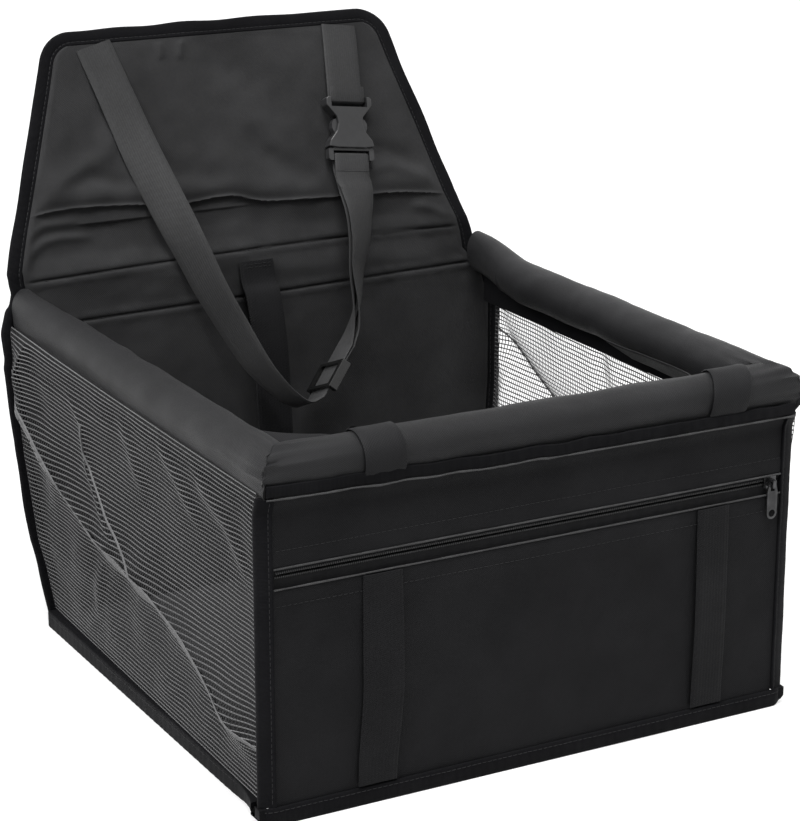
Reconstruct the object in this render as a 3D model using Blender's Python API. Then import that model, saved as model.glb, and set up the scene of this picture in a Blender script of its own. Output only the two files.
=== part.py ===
"""A fold-up car booster seat for a small dog, one object per piece, in metres with +Z up.

The origin is the middle of the base's underside, the front faces -Y and the back flap leans to +Y.
Soft pieces are plain closed solids at their real size; what moves is parented to an empty on its axis.
"""

import math

import bmesh
import bpy
from mathutils import Matrix, Vector

# Clearances
GAP = 0.0003
OVERRUN = 0.005

# Box
SEAT_WIDTH = 0.400
SEAT_DEPTH = 0.400
RIM_HEIGHT = 0.254
BACK_FOOT_INSET = 0.006
BACK_REACH = 0.030
HINGE_RISE = 0.020
FLAP_LEAN = math.radians(22)

# Cloth, boards and webbing
COVER_THICKNESS = 0.007
BOARD_THICKNESS = 0.003
PANEL_THICKNESS = 0.002
MESH_THICKNESS = 0.0012
TAPE_THICKNESS = 0.0010
WEBBING_THICKNESS = 0.0014
BAND_WIDTH = 0.030
STRAP_WIDTH = 0.030
BINDING_WIDTH = 0.012
BINDING_THICKNESS = 0.004
BINDING_ROUND_SHARE = 0.6
BINDING_EDGE_SHARE = 0.12
BASE_BINDING_HEIGHT = 0.013

# Rim sleeves and tubes
SLEEVE_RADIUS = 0.0165
SLEEVE_SIDES = 20
SLEEVE_TAIL = 0.004
SLEEVE_TAIL_THICKNESS = 0.0024
SLEEVE_GATHER = 0.012
GATHER_SHARE = 0.98
TAIL_FROM = math.radians(-35)
TAIL_TO = math.radians(-70)
TUBE_RADIUS = 0.0134
TUBE_WALL = 0.0026
TUBE_SIDES = 20
TUBE_END_REACH = 0.020
SLEEVE_REAR_REACH = 0.055
SLEEVE_REAR_LIFT = 0.007
SLEEVE_REAR_SPREAD = 0.003
SLEEVE_REAR_WIDTH_SHARE = 0.60
SLEEVE_REAR_HEIGHT_SHARE = 1.12

# Floor
FLOOR_THICKNESS = 0.012
FLOOR_EDGE = 0.002
FLOOR_BOARD_MARGIN = 0.010

# Front wall, from its outer face inwards
FRONT_EDGE = 0.0058
FRONT_FOOT = 0.0022
POCKET_DEPTH = 0.004
ZIPPER_DROP = 0.083
TAPE_SHOWN_BELOW = 0.010
TAPE_SHOWN_ABOVE = 0.0065
TAPE_TUCK = 0.004
COIL_SPLIT = 0.0014
COIL_HEIGHT = 0.0022
COIL_DEPTH = 0.0011
FRONT_BOARD_MARGIN = 0.010

# Webbing bands and rim straps
LEFT_BAND_INSET = 0.0775
RIGHT_BAND_INSET = 0.066
LEFT_WRAP_INSET = 0.079
RIGHT_WRAP_INSET = 0.054
BAND_FOOT = 0.0155
WRAP_FROM = math.radians(-22)
WRAP_TO = math.radians(120)
WRAP_STEPS = 9
WRAP_CLEARANCE = 0.0015

# A rim strap's run: shares of its way to the wall, of the seat's depth and of the rim's height, then its
# turn in degrees
WRAP_RUN_SHARES = (
    (0.12, -0.3750, 0.9370, 6),
    (0.36, -0.3250, 0.8977, 32),
    (0.58, -0.2750, 0.8524, 54),
    (0.76, -0.2250, 0.8118, 71),
    (0.88, -0.1750, 0.8031, 80),
    (0.97, -0.0875, 0.7992, 87),
    (1.00, 0.0250, 0.7972, 90),
    (1.00, 0.1550, 0.7933, 90),
)

# Side meshes
MESH_OPENINGS_ACROSS = 12
MESH_OPENINGS_UP = 7
MESH_OPEN_SHARE = 0.66
MESH_RIDGE = 0.005
MESH_VALLEY = 0.011
MESH_FADE_SHARE = 0.22
CREASE_SHARES = ((0.0, 0.17), (0.25, 0.375), (0.39, 0.45), (0.655, 0.53), (0.78, 0.614), (1.0, 0.85))
HEM_HEIGHT = 0.017

# Back panel: how far its bindings stand out past the sides, and at which shares of its length
BACK_FLARE_SHARES = (0.0073, 0.1814, 0.5043, 0.7437, 0.8417, 0.9142, 0.9650)
BACK_FLARE = (-0.0025, 0.0, 0.0110, 0.0150, 0.0090, -0.0015, 0.0010)
BACK_ROWS = 16
BACK_BOARD_TOP = 0.226
BACK_BOARD_MARGIN = 0.022

# Flap
FLAP_HEIGHT = 0.181
FLAP_BOTTOM_SPREAD = 0.0015
FLAP_TOP_SHARE = 0.73
FLAP_CORNER = 0.030
FLAP_CORNER_STEPS = 6
FLAP_FRONT = 0.0037
FLAP_SOFT_FRONT = 0.0022
FLAP_REAR = 0.0035
FLAP_CREASE_V = 0.030
FLAP_SOFT_ROWS = 3
FLAP_STIFF_ROWS = 8
FLAP_COLUMNS = 14
KNUCKLE_STEPS = 5
FLAP_BOARD_MARGIN = 0.014

# Headrest loop, in the flap's own frame: across, up the flap, out of its face, and the webbing's turn
# in degrees from flat against the flap
PIVOT_V = 0.1675
LEFT_SEAM_X = -0.1130
RIGHT_SEAM_X = 0.0995
MOUTH_X = 0.0872
MOUTH_V = 0.0655
LOOP_OUT = 0.0098
LEFT_RUN = (
    (-0.1003, 0.1180, 0.0068, 4),
    (-0.0900, 0.0755, 0.0100, 16),
    (-0.0751, 0.0248, 0.0142, 32),
    (-0.0668, 0.0000, 0.0148, 42),
    (-0.0547, -0.0334, 0.0128, 52),
    (-0.0396, -0.0680, 0.0110, 60),
    (-0.0246, -0.0994, 0.0105, 69),
    (-0.0073, -0.1220, 0.0105, 81),
    (0.0060, -0.1318, 0.0105, 88),
    (0.0176, -0.1288, 0.0105, 88),
)
RIGHT_RUN = (
    (0.0500, -0.0915, 0.0105, 88),
    (0.0588, -0.0756, 0.0112, 104),
    (0.0655, -0.0562, 0.0122, 120),
    (0.0702, -0.0325, 0.0135, 133),
    (0.0772, -0.0089, 0.0142, 144),
    (0.0812, 0.0119, 0.0136, 154),
    (0.0846, 0.0320, 0.0102, 173),
)
STRAP_SMOOTHING = 4
SLACK = ((-0.092, 0.0006), (-0.078, 0.0026), (-0.060, 0.0026), (-0.030, 0.0010), (0.040, 0.0022))
ADJUSTER_AT = 0.0205
RUN_LEAD = 0.002

# Side-release buckle, from the socket's mouth up
SOCKET_LENGTH = 0.0415
SOCKET_HALF = 0.0200
SOCKET_DEPTH = 0.0105
SOCKET_PLATE = 0.0020
SOCKET_POST_INNER = 0.0160
SOCKET_CHAMBER = 0.0265
SLOT_HALF = 0.0158
BAR_DEPTH = 0.0030
BAR_THICKNESS = 0.0026
SLOT_HEIGHT = 0.0052
PLUG_BASE = 0.0100
PLUG_BAR_DEPTH = 0.0045
PLUG_SLOT_HEIGHT = 0.0034
PLUG_DEPTH = 0.0056
BUCKLE_EDGE = 0.0008
WRAP_TAIL = 0.009

# The buckle's outlines, foot to top, as shares of the socket's half width and of its length
SOCKET_OUTLINE_SHARES = (
    (0.600, 0.000),
    (1.000, 0.024),
    (0.930, 0.145),
    (0.631, 0.328),
    (0.535, 0.482),
    (0.578, 0.602),
    (0.860, 0.759),
    (1.000, 0.831),
    (1.000, 0.964),
    (0.900, 1.000),
)
PLUG_OUTLINE_SHARES = (
    (0.920, -0.2410),
    (1.000, -0.2050),
    (1.000, -0.0265),
    (0.960, -0.0072),
    (0.775, -0.0072),
    (0.690, 0.1446),
    (0.690, 0.2988),
    (0.775, 0.3855),
    (0.775, 0.4819),
    (0.690, 0.5542),
    (0.518, 0.5904),
    (0.414, 0.5904),
    (0.483, 0.4337),
    (0.538, 0.1446),
    (0.497, -0.0072),
    (0.150, -0.0072),
    (0.150, 0.5181),
    (0.000, 0.5904),
)

# Adjuster
ADJUSTER_HALF_WIDTH = 0.0205
ADJUSTER_HALF_HEIGHT = 0.0130
ADJUSTER_OUTER_BAR = 0.0032
ADJUSTER_CENTRE_HALF = 0.0020
ADJUSTER_FACE = 0.0022
ADJUSTER_CENTRE_DEPTH = 0.0022
SEWN_TAIL = 0.012

# Tether and its hook
TETHER_X = -0.0080
TETHER_TOP = 0.263
TETHER_ROUTE = ((0.247, 0.0080), (0.236, 0.0150), (0.212, 0.0200), (0.170, 0.0225))
EYE_Z = 0.079
EYE_OUT = 0.0210
EYE_WIRE = 0.0016
EYE_HALF_WIDTH = 0.0195
EYE_HALF_HEIGHT = 0.0065
EYE_SIDES = 8
COLLAR_RADIUS = 0.0048
COLLAR_HEIGHT = 0.0050
COLLAR_SILL = 0.00128
SHOULDER_RADIUS = 0.00384
STEM_RADIUS = 0.0018
STEM_HEAD_RADIUS = 0.0030
STEM_HEAD_HEIGHT = 0.0018
HOOK_SHANK = 0.010
HOOK_HALF_HEIGHT = 0.0165
HOOK_HALF_WIDTH = 0.0100
HOOK_WIRE = 0.0021
HOOK_STEPS = 18
HOOK_MOUTH_FROM = math.radians(38)
HOOK_MOUTH_TO = math.radians(-28)
HOOK_PIVOT_AT = math.radians(44)
HOOK_TONGUE_HALF = 0.0008
HOOK_CHEEK_RADIUS = 0.0030
GATE_HALF_DEPTH = 0.0019
GATE_HALF_WIDTH = 0.0013
GATE_EAR_RADIUS = 0.0019
GATE_SLOT_REACH = 0.0030
GATE_FOOT_RISE = 0.0012
GATE_PIN_RADIUS = 0.0007
PIN_PLAY = 0.00008

# Zipper slider and pull, from the middle of the coil
SLIDER_INSET = 0.014
SLIDER_HALF_LENGTH = 0.0050
SLIDER_HALF_HEIGHT = 0.0042
SLIDER_PLATE = 0.0010
SLIDER_NECK = 0.0008
SLIDER_LIP = 0.0006
BAIL_HALF_WIDTH = 0.0013
BAIL_REACH = 0.0058
BAIL_WALL = 0.0009
PIN_RADIUS = 0.0006
PULL_LENGTH = 0.026
PULL_HALF_WIDTH = 0.0042
PULL_TOP_SHARE = 0.62
PULL_THICKNESS = 0.0014
PULL_HOLE_RADIUS = 0.0027
PULL_ROUND_STEPS = 12
PULL_WINDOW_LENGTH = 0.0060

# Worked out from the sizes above
SIDE_X = SEAT_WIDTH / 2
FRONT_Y = -SEAT_DEPTH / 2
BACK_FOOT_Y = SEAT_DEPTH / 2 - BACK_FOOT_INSET
HINGE_Y = BACK_FOOT_Y + BACK_REACH
HINGE_Z = RIM_HEIGHT + HINGE_RISE
ZIPPER_HEIGHT = RIM_HEIGHT - ZIPPER_DROP
POCKET_TOP = ZIPPER_HEIGHT - TAPE_SHOWN_BELOW
HEADER_BOTTOM = ZIPPER_HEIGHT + TAPE_SHOWN_ABOVE
LEFT_BAND_X = LEFT_BAND_INSET - SIDE_X
RIGHT_BAND_X = SIDE_X - RIGHT_BAND_INSET
LEFT_WRAP_X = LEFT_WRAP_INSET - SIDE_X
RIGHT_WRAP_X = SIDE_X - RIGHT_WRAP_INSET
SLIDER_X = SIDE_X - SLIDER_INSET
FLAP_BOTTOM_HALF = SIDE_X + FLAP_BOTTOM_SPREAD
FLAP_TOP_HALF = SIDE_X * FLAP_TOP_SHARE
RIM_Z = RIM_HEIGHT - SLEEVE_RADIUS
TAIL_OUT = SLEEVE_RADIUS * math.cos((TAIL_FROM + TAIL_TO) / 2)
SIDE_RIM_X = SIDE_X - TAIL_OUT + PANEL_THICKNESS / 2
FRONT_RIM_Y = FRONT_Y + TAIL_OUT + PANEL_THICKNESS / 2
WALL_TOP = RIM_Z - SLEEVE_RADIUS - SLEEVE_TAIL - GAP
HALF_COVER = COVER_THICKNESS / 2
HALF_BOARD = BOARD_THICKNESS / 2
HALF_WEBBING = WEBBING_THICKNESS / 2
HALF_BINDING = BINDING_THICKNESS / 2
WEB_STEP = WEBBING_THICKNESS + GAP
BACK_LEAN = math.atan2(HINGE_Y - BACK_FOOT_Y, HINGE_Z)
BACK_LENGTH = math.hypot(HINGE_Y - BACK_FOOT_Y, HINGE_Z)
BACK_OUTLINE = tuple(
    (BACK_LENGTH * share, SIDE_X + flare) for share, flare in zip(BACK_FLARE_SHARES, BACK_FLARE)
)
PANEL_OUTER_Y = FRONT_Y + GAP
COVER_OUTER_Y = PANEL_OUTER_Y + PANEL_THICKNESS + POCKET_DEPTH
COVER_INNER_Y = COVER_OUTER_Y + COVER_THICKNESS
PANEL_HALF_WIDTH = SIDE_X - FRONT_EDGE
FLOOR_HALF_WIDTH = SIDE_X - FRONT_EDGE - GAP
AXIS_X = Vector((1, 0, 0))
AXIS_Y = Vector((0, 1, 0))
AXIS_Z = Vector((0, 0, 1))


def finish(name, colour, roughness, metallic=0.0):
    """A Principled material."""
    material = bpy.data.materials.new(name)
    material.use_nodes = True
    shader = material.node_tree.nodes["Principled BSDF"]
    shader.inputs["Base Color"].default_value = (*colour, 1)
    shader.inputs["Roughness"].default_value = roughness
    shader.inputs["Metallic"].default_value = metallic
    return material


def clear_scene():
    for old in list(bpy.data.objects):
        bpy.data.objects.remove(old)


def leaning_frame(foot, lean):
    """Across, up and out of the front of a panel that leans back from its foot."""
    up = Vector((0, math.sin(lean), math.cos(lean)))
    out = Vector((0, -math.cos(lean), math.sin(lean)))
    return Matrix.Translation(foot) @ Matrix((AXIS_X, up, out)).transposed().to_4x4()


BACK = leaning_frame(Vector((0, BACK_FOOT_Y, 0)), BACK_LEAN)
FLAP = leaning_frame(Vector((0, HINGE_Y, HINGE_Z)), FLAP_LEAN)
WALL = leaning_frame(Vector((0, 0, 0)), 0)


def axis_empty(name, place, parent=None):
    """An empty on a joint's axis."""
    empty = bpy.data.objects.new(name, None)
    bpy.context.scene.collection.objects.link(empty)
    empty["place"] = place
    empty.location = place
    if parent:
        empty.parent = parent
        empty.location = place - Vector(parent["place"])
    return empty


def add_piece(name, points, faces, material, axis=None):
    """One closed object from world points, with its origin on its joint's axis."""
    origin = Vector(axis["place"]) if axis else Vector((0, 0, 0))
    mesh = bpy.data.meshes.new(name)
    mesh.from_pydata([Vector(point) - origin for point in points], [], faces)
    shape = bmesh.new()
    shape.from_mesh(mesh)
    bmesh.ops.recalc_face_normals(shape, faces=shape.faces)
    shape.to_mesh(mesh)
    shape.free()
    mesh.materials.append(material)
    mesh.shade_smooth()
    mesh.set_sharp_from_angle(angle=math.radians(35))
    piece = bpy.data.objects.new(name, mesh)
    bpy.context.scene.collection.objects.link(piece)
    if axis:
        piece.parent = axis
    return piece


def ring_faces(rings, sides, first=0):
    """Side faces between rings of points that follow each other in one list."""
    faces = []
    for ring in range(rings - 1):
        for side in range(sides):
            near = first + ring * sides
            far = near + sides
            after = (side + 1) % sides
            faces.append((near + side, near + after, far + after, far + side))
    return faces


def loft(name, rings, material, axis=None):
    """A closed solid through rings of equal count."""
    sides = len(rings[0])
    points = [point for ring in rings for point in ring]
    faces = ring_faces(len(rings), sides)
    faces.append(tuple(range(sides)))
    faces.append(tuple(len(points) - sides + side for side in range(sides)))
    return add_piece(name, points, faces, material, axis)


def closed_loft(name, rings, material, axis=None):
    """A solid through rings whose last meets its first, such as a frame of wire."""
    sides = len(rings[0])
    points = [point for ring in rings for point in ring]
    faces = ring_faces(len(rings), sides)
    last = len(points) - sides
    for side in range(sides):
        after = (side + 1) % sides
        faces.append((last + side, last + after, after, side))
    return add_piece(name, points, faces, material, axis)


def plate(name, frame, outline, low, high, material, axis=None):
    """An outline of (across, up) points, given thickness from low to high along the frame's front."""
    rings = [[frame @ Vector((u, v, w)) for u, v in outline] for w in (low, high)]
    return loft(name, rings, material, axis)


def block(name, low, high, material, axis=None, frame=None):
    """A box between two corners, in the world or in a frame."""
    frame = frame or Matrix.Identity(4)
    rings = [
        [
            frame @ Vector(corner)
            for corner in (
                (low[0], low[1], z),
                (high[0], low[1], z),
                (high[0], high[1], z),
                (low[0], high[1], z),
            )
        ]
        for z in (low[2], high[2])
    ]
    return loft(name, rings, material, axis)


def soften(piece, width, segments=2):
    """Round a solid's edges."""
    bevel = piece.modifiers.new("soft_edges", "BEVEL")
    bevel.width = width
    bevel.segments = segments
    bevel.limit_method = "ANGLE"
    bevel.angle_limit = math.radians(40)
    return piece


def cut(piece, cutter):
    """Take a hidden cutter away from a piece."""
    cutter.hide_render = True
    cutter.display_type = "WIRE"
    boolean = piece.modifiers.new("cut", "BOOLEAN")
    boolean.object = cutter
    boolean.operation = "DIFFERENCE"
    return piece


def join(piece, other):
    """Union a hidden helper into a piece."""
    other.hide_render = True
    other.display_type = "WIRE"
    boolean = piece.modifiers.new("join", "BOOLEAN")
    boolean.object = other
    boolean.operation = "UNION"
    return piece


def between(table, value):
    """Straight-line reading of a table of (key, value) pairs."""
    for (low, first), (high, second) in zip(table, table[1:]):
        if value <= high:
            share = max(0.0, (value - low) / (high - low))
            return first + (second - first) * share
    return table[-1][1]


def smooth_path(points, steps):
    """A Catmull-Rom curve through points."""
    ends = [points[0] * 2 - points[1], *points, points[-1] * 2 - points[-2]]
    path = []
    for a, b, c, d in zip(ends, ends[1:], ends[2:], ends[3:]):
        for step in range(steps):
            t = step / steps
            bend = (a * 2 - b * 5 + c * 4 - d) * t**2 + (b * 3 - a - c * 3 + d) * t**3
            path.append((b * 2 + (c - a) * t + bend) / 2)
    path.append(points[-1])
    return path


def ribbon(name, stations, width, material, axis=None):
    """Webbing along stations of (centre, across, face normal); both faces fold along the same diagonals."""
    points = []
    for centre, across, normal in stations:
        side = across * (width / 2)
        rise = normal * HALF_WEBBING
        points += [centre - side - rise, centre + side - rise, centre + side + rise, centre - side + rise]
    faces = [(0, 1, 2, 3), tuple(len(points) - 4 + corner for corner in range(4))]
    for near in range(0, len(points) - 4, 4):
        for side in range(4):
            after = (side + 1) % 4
            quad = [near + side, near + after, near + 4 + after, near + 4 + side]
            if side == 2:
                quad = quad[1:] + quad[:1]
            faces += [(quad[0], quad[1], quad[2]), (quad[0], quad[2], quad[3])]
    return add_piece(name, points, faces, material, axis)


def sleeve_section(width_share=1.0, height_share=1.0):
    """The (outward, up) points of a rim sleeve: a round with the tail that is sewn to the wall below it."""
    sweep = 2 * math.pi + TAIL_TO - TAIL_FROM
    section = []
    for step in range(SLEEVE_SIDES + 1):
        turn = TAIL_FROM + sweep * step / SLEEVE_SIDES
        out = SLEEVE_RADIUS * math.cos(turn)
        up = SLEEVE_RADIUS * math.sin(turn)
        section.append((out * width_share, up * height_share))
    foot = -(SLEEVE_RADIUS + SLEEVE_TAIL) * height_share
    half_tail = SLEEVE_TAIL_THICKNESS / 2
    section.append(((TAIL_OUT - half_tail) * width_share, foot))
    section.append(((TAIL_OUT + half_tail) * width_share, foot))
    return section


def bore_cutter(name, start, end):
    """A round cutter for a sleeve's bore, wide enough that its flats clear the tube."""
    radius = (TUBE_RADIUS + GAP) / math.cos(math.pi / TUBE_SIDES)
    return rod(name, start, end, radius, TUBE_SIDES, None)


def rod(name, start, end, radius, sides, material, axis=None):
    """A round bar between two points."""
    along = (end - start).normalized()
    first = along.orthogonal().normalized()
    second = along.cross(first)
    rings = []
    for place in (start, end):
        ring = []
        for side in range(sides):
            turn = 2 * math.pi * side / sides
            ring.append(place + first * (radius * math.cos(turn)) + second * (radius * math.sin(turn)))
        rings.append(ring)
    material = material or helper
    return loft(name, rings, material, axis)


def back_front_y(z, out):
    """Where a height meets the plane that lies a given distance out of the back panel."""
    return BACK_FOOT_Y + z * math.tan(BACK_LEAN) - out / math.cos(BACK_LEAN)


def build_floor():
    rear = back_front_y(0, HALF_COVER) - GAP
    floor = block(
        "floor_cover",
        (-FLOOR_HALF_WIDTH, COVER_INNER_Y + GAP, 0),
        (FLOOR_HALF_WIDTH, rear, FLOOR_THICKNESS),
        cloth,
    )
    soften(floor, FLOOR_EDGE)
    half = FLOOR_HALF_WIDTH - FLOOR_BOARD_MARGIN
    front = COVER_INNER_Y + FLOOR_BOARD_MARGIN
    middle = FLOOR_THICKNESS / 2
    board_rear = rear - FLOOR_EDGE
    low = (-half, front, middle - HALF_BOARD)
    high = (half, board_rear, middle + HALF_BOARD)
    block("floor_board", low, high, board)
    pocket = block(
        "floor_pocket",
        (-half - GAP, front - GAP, middle - HALF_BOARD - GAP),
        (half + GAP, rear + OVERRUN, middle + HALF_BOARD + GAP),
        helper,
    )
    cut(floor, pocket)


def build_front_wall():
    top = WALL_TOP
    cover = block(
        "front_cover",
        (-PANEL_HALF_WIDTH, COVER_OUTER_Y, FRONT_FOOT),
        (PANEL_HALF_WIDTH, COVER_INNER_Y, top),
        cloth,
    )
    soften(cover, PANEL_THICKNESS / 2)
    half = PANEL_HALF_WIDTH - FRONT_BOARD_MARGIN
    middle = (COVER_OUTER_Y + COVER_INNER_Y) / 2
    foot = FRONT_FOOT + PANEL_THICKNESS / 2
    lid = top - FRONT_BOARD_MARGIN
    block("front_board", (-half, middle - HALF_BOARD, foot), (half, middle + HALF_BOARD, lid), board)
    pocket = block(
        "front_pocket",
        (-half - GAP, middle - HALF_BOARD - GAP, FRONT_FOOT - OVERRUN),
        (half + GAP, middle + HALF_BOARD + GAP, lid + GAP),
        helper,
    )
    cut(cover, pocket)
    inner = PANEL_OUTER_Y + PANEL_THICKNESS
    block(
        "pocket_panel",
        (-PANEL_HALF_WIDTH, PANEL_OUTER_Y, FRONT_FOOT),
        (PANEL_HALF_WIDTH, inner, POCKET_TOP),
        cloth,
    )
    block(
        "header_strip",
        (-PANEL_HALF_WIDTH, PANEL_OUTER_Y, HEADER_BOTTOM),
        (PANEL_HALF_WIDTH, inner, top),
        cloth,
    )
    for name, x in (("left_front_band", LEFT_BAND_X), ("right_front_band", RIGHT_BAND_X)):
        half_band = BAND_WIDTH / 2
        face = PANEL_OUTER_Y - GAP
        low = (x - half_band, face - WEBBING_THICKNESS, BAND_FOOT)
        high = (x + half_band, face, POCKET_TOP)
        block(name, low, high, webbing)


def build_zipper():
    """Two tapes, each with its half of the coil, with a slit between them for the slider's neck."""
    outer = PANEL_OUTER_Y + PANEL_THICKNESS + GAP
    inner = outer + TAPE_THICKNESS
    split = COIL_SPLIT / 2
    for name, side, far in (
        ("upper_zipper_tape", 1, HEADER_BOTTOM + TAPE_TUCK),
        ("lower_zipper_tape", -1, POCKET_TOP - TAPE_TUCK),
    ):
        near = ZIPPER_HEIGHT + side * split
        coil = near + side * COIL_HEIGHT
        shoulder = coil - side * COIL_HEIGHT / 4
        lip = near + side * COIL_HEIGHT / 4
        section = (
            (inner, near),
            (inner, far),
            (outer, far),
            (outer, coil),
            (outer - COIL_DEPTH / 2, coil),
            (outer - COIL_DEPTH, shoulder),
            (outer - COIL_DEPTH, lip),
            (outer - COIL_DEPTH / 2, near),
        )
        rings = [[Vector((x, y, z)) for y, z in section] for x in (-PANEL_HALF_WIDTH, PANEL_HALF_WIDTH)]
        loft(name, rings, zipper_cloth)
    return outer, inner


def build_slider(outer, inner, slider_axis, pull_axis):
    """The slider straddles the tapes; its front and rear plates join through the slit between the coils."""
    front_plate = outer - COIL_DEPTH - GAP
    rear_plate = inner + GAP
    left = SLIDER_X - SLIDER_HALF_LENGTH
    right = SLIDER_X + SLIDER_HALF_LENGTH
    low = ZIPPER_HEIGHT - SLIDER_HALF_HEIGHT
    high = ZIPPER_HEIGHT + SLIDER_HALF_HEIGHT
    slider = block(
        "zipper_slider",
        (left, front_plate - SLIDER_PLATE, low),
        (right, front_plate, high),
        metal,
        slider_axis,
    )
    rear = block(
        "slider_rear",
        (left, rear_plate, low),
        (right, rear_plate + SLIDER_PLATE, high),
        helper,
        slider_axis,
    )
    half_neck = SLIDER_NECK / 2
    neck = block(
        "slider_neck",
        (SLIDER_X + SLIDER_LIP, front_plate - SLIDER_PLATE / 2, ZIPPER_HEIGHT - half_neck),
        (right - SLIDER_LIP, rear_plate + SLIDER_PLATE / 2, ZIPPER_HEIGHT + half_neck),
        helper,
        slider_axis,
    )
    face = front_plate - SLIDER_PLATE
    reach = BAIL_REACH
    half_bail = BAIL_HALF_WIDTH
    bail = block(
        "slider_bail",
        (SLIDER_X - half_bail, face - reach, ZIPPER_HEIGHT - reach / 2),
        (SLIDER_X + half_bail, face + SLIDER_PLATE / 2, ZIPPER_HEIGHT + reach / 2),
        helper,
        slider_axis,
    )
    for part in (rear, neck, bail):
        join(slider, part)
    eye_radius = reach / 2 - BAIL_WALL
    eye_y = face - reach / 2
    eye = rod(
        "bail_eye",
        Vector((SLIDER_X - half_bail - OVERRUN, eye_y, ZIPPER_HEIGHT)),
        Vector((SLIDER_X + half_bail + OVERRUN, eye_y, ZIPPER_HEIGHT)),
        eye_radius,
        PULL_ROUND_STEPS,
        helper,
        slider_axis,
    )
    cut(slider, eye)
    build_pull(eye_y, pull_axis)


def build_pull(eye_y, pull_axis):
    """A flat tab with a window for the bail, a pin across the window's top and a round hole at its foot."""
    half_window = BAIL_HALF_WIDTH + GAP
    top = ZIPPER_HEIGHT + PIN_RADIUS
    foot_centre = ZIPPER_HEIGHT - PULL_LENGTH + PULL_HALF_WIDTH
    window_foot = ZIPPER_HEIGHT - PULL_WINDOW_LENGTH
    half_top = PULL_HALF_WIDTH * PULL_TOP_SHARE
    outline = [(SLIDER_X + PULL_HALF_WIDTH, window_foot), (SLIDER_X + half_top, top)]
    outline += [(SLIDER_X - half_top, top), (SLIDER_X - PULL_HALF_WIDTH, window_foot)]
    for step in range(PULL_ROUND_STEPS + 1):
        turn = math.pi + math.pi * step / PULL_ROUND_STEPS
        across = PULL_HALF_WIDTH * math.cos(turn)
        outline.append((SLIDER_X + across, foot_centre + PULL_HALF_WIDTH * math.sin(turn)))
    half = PULL_THICKNESS / 2
    tab = plate("zipper_pull", WALL, outline, -eye_y - half, -eye_y + half, metal, pull_axis)
    window = block(
        "pull_window",
        (SLIDER_X - half_window, eye_y - OVERRUN, window_foot + PIN_RADIUS),
        (SLIDER_X + half_window, eye_y + OVERRUN, ZIPPER_HEIGHT + OVERRUN),
        helper,
        pull_axis,
    )
    pin = rod(
        "pull_pin",
        Vector((SLIDER_X - half_window - PIN_RADIUS, eye_y, ZIPPER_HEIGHT)),
        Vector((SLIDER_X + half_window + PIN_RADIUS, eye_y, ZIPPER_HEIGHT)),
        PIN_RADIUS,
        PULL_ROUND_STEPS,
        helper,
        pull_axis,
    )
    hole = rod(
        "pull_hole",
        Vector((SLIDER_X, eye_y - OVERRUN, foot_centre)),
        Vector((SLIDER_X, eye_y + OVERRUN, foot_centre)),
        PULL_HOLE_RADIUS,
        PULL_ROUND_STEPS,
        helper,
        pull_axis,
    )
    cut(tab, window)
    cut(tab, hole)
    join(tab, pin)


def build_front_sleeve():
    """A sleeve along the front rim, gathered and mitred at both corners."""
    section = sleeve_section()
    gathered = [(out * GATHER_SHARE, up * GATHER_SHARE) for out, up in section]
    half = SIDE_RIM_X
    inset = GAP / 2 * math.sqrt(2)
    rings = []
    for side in (-1, 1):
        ends = []
        for shape, reach in ((gathered, 0), (section, SLEEVE_GATHER)):
            end = half - inset - reach
            ends.append([Vector((side * (end + out), FRONT_RIM_Y - out, RIM_Z + up)) for out, up in shape])
        rings += ends if side < 0 else ends[::-1]
    sleeve = loft("front_sleeve", rings, rim_cloth)
    reach = half + SLEEVE_RADIUS + OVERRUN
    start = Vector((-reach, FRONT_RIM_Y, RIM_Z))
    cut(sleeve, bore_cutter("front_bore", start, Vector((reach, FRONT_RIM_Y, RIM_Z))))
    tube_end = half - TUBE_END_REACH
    build_tube("front_tube", Vector((-tube_end, FRONT_RIM_Y, RIM_Z)), Vector((tube_end, FRONT_RIM_Y, RIM_Z)))


def build_tube(name, start, end):
    """A plastic pipe."""
    tube = rod(name, start, end, TUBE_RADIUS, TUBE_SIDES, plastic_pipe)
    past = (end - start).normalized() * OVERRUN
    cut(tube, rod(name + "_bore", start - past, end + past, TUBE_RADIUS - TUBE_WALL, TUBE_SIDES, helper))


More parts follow.
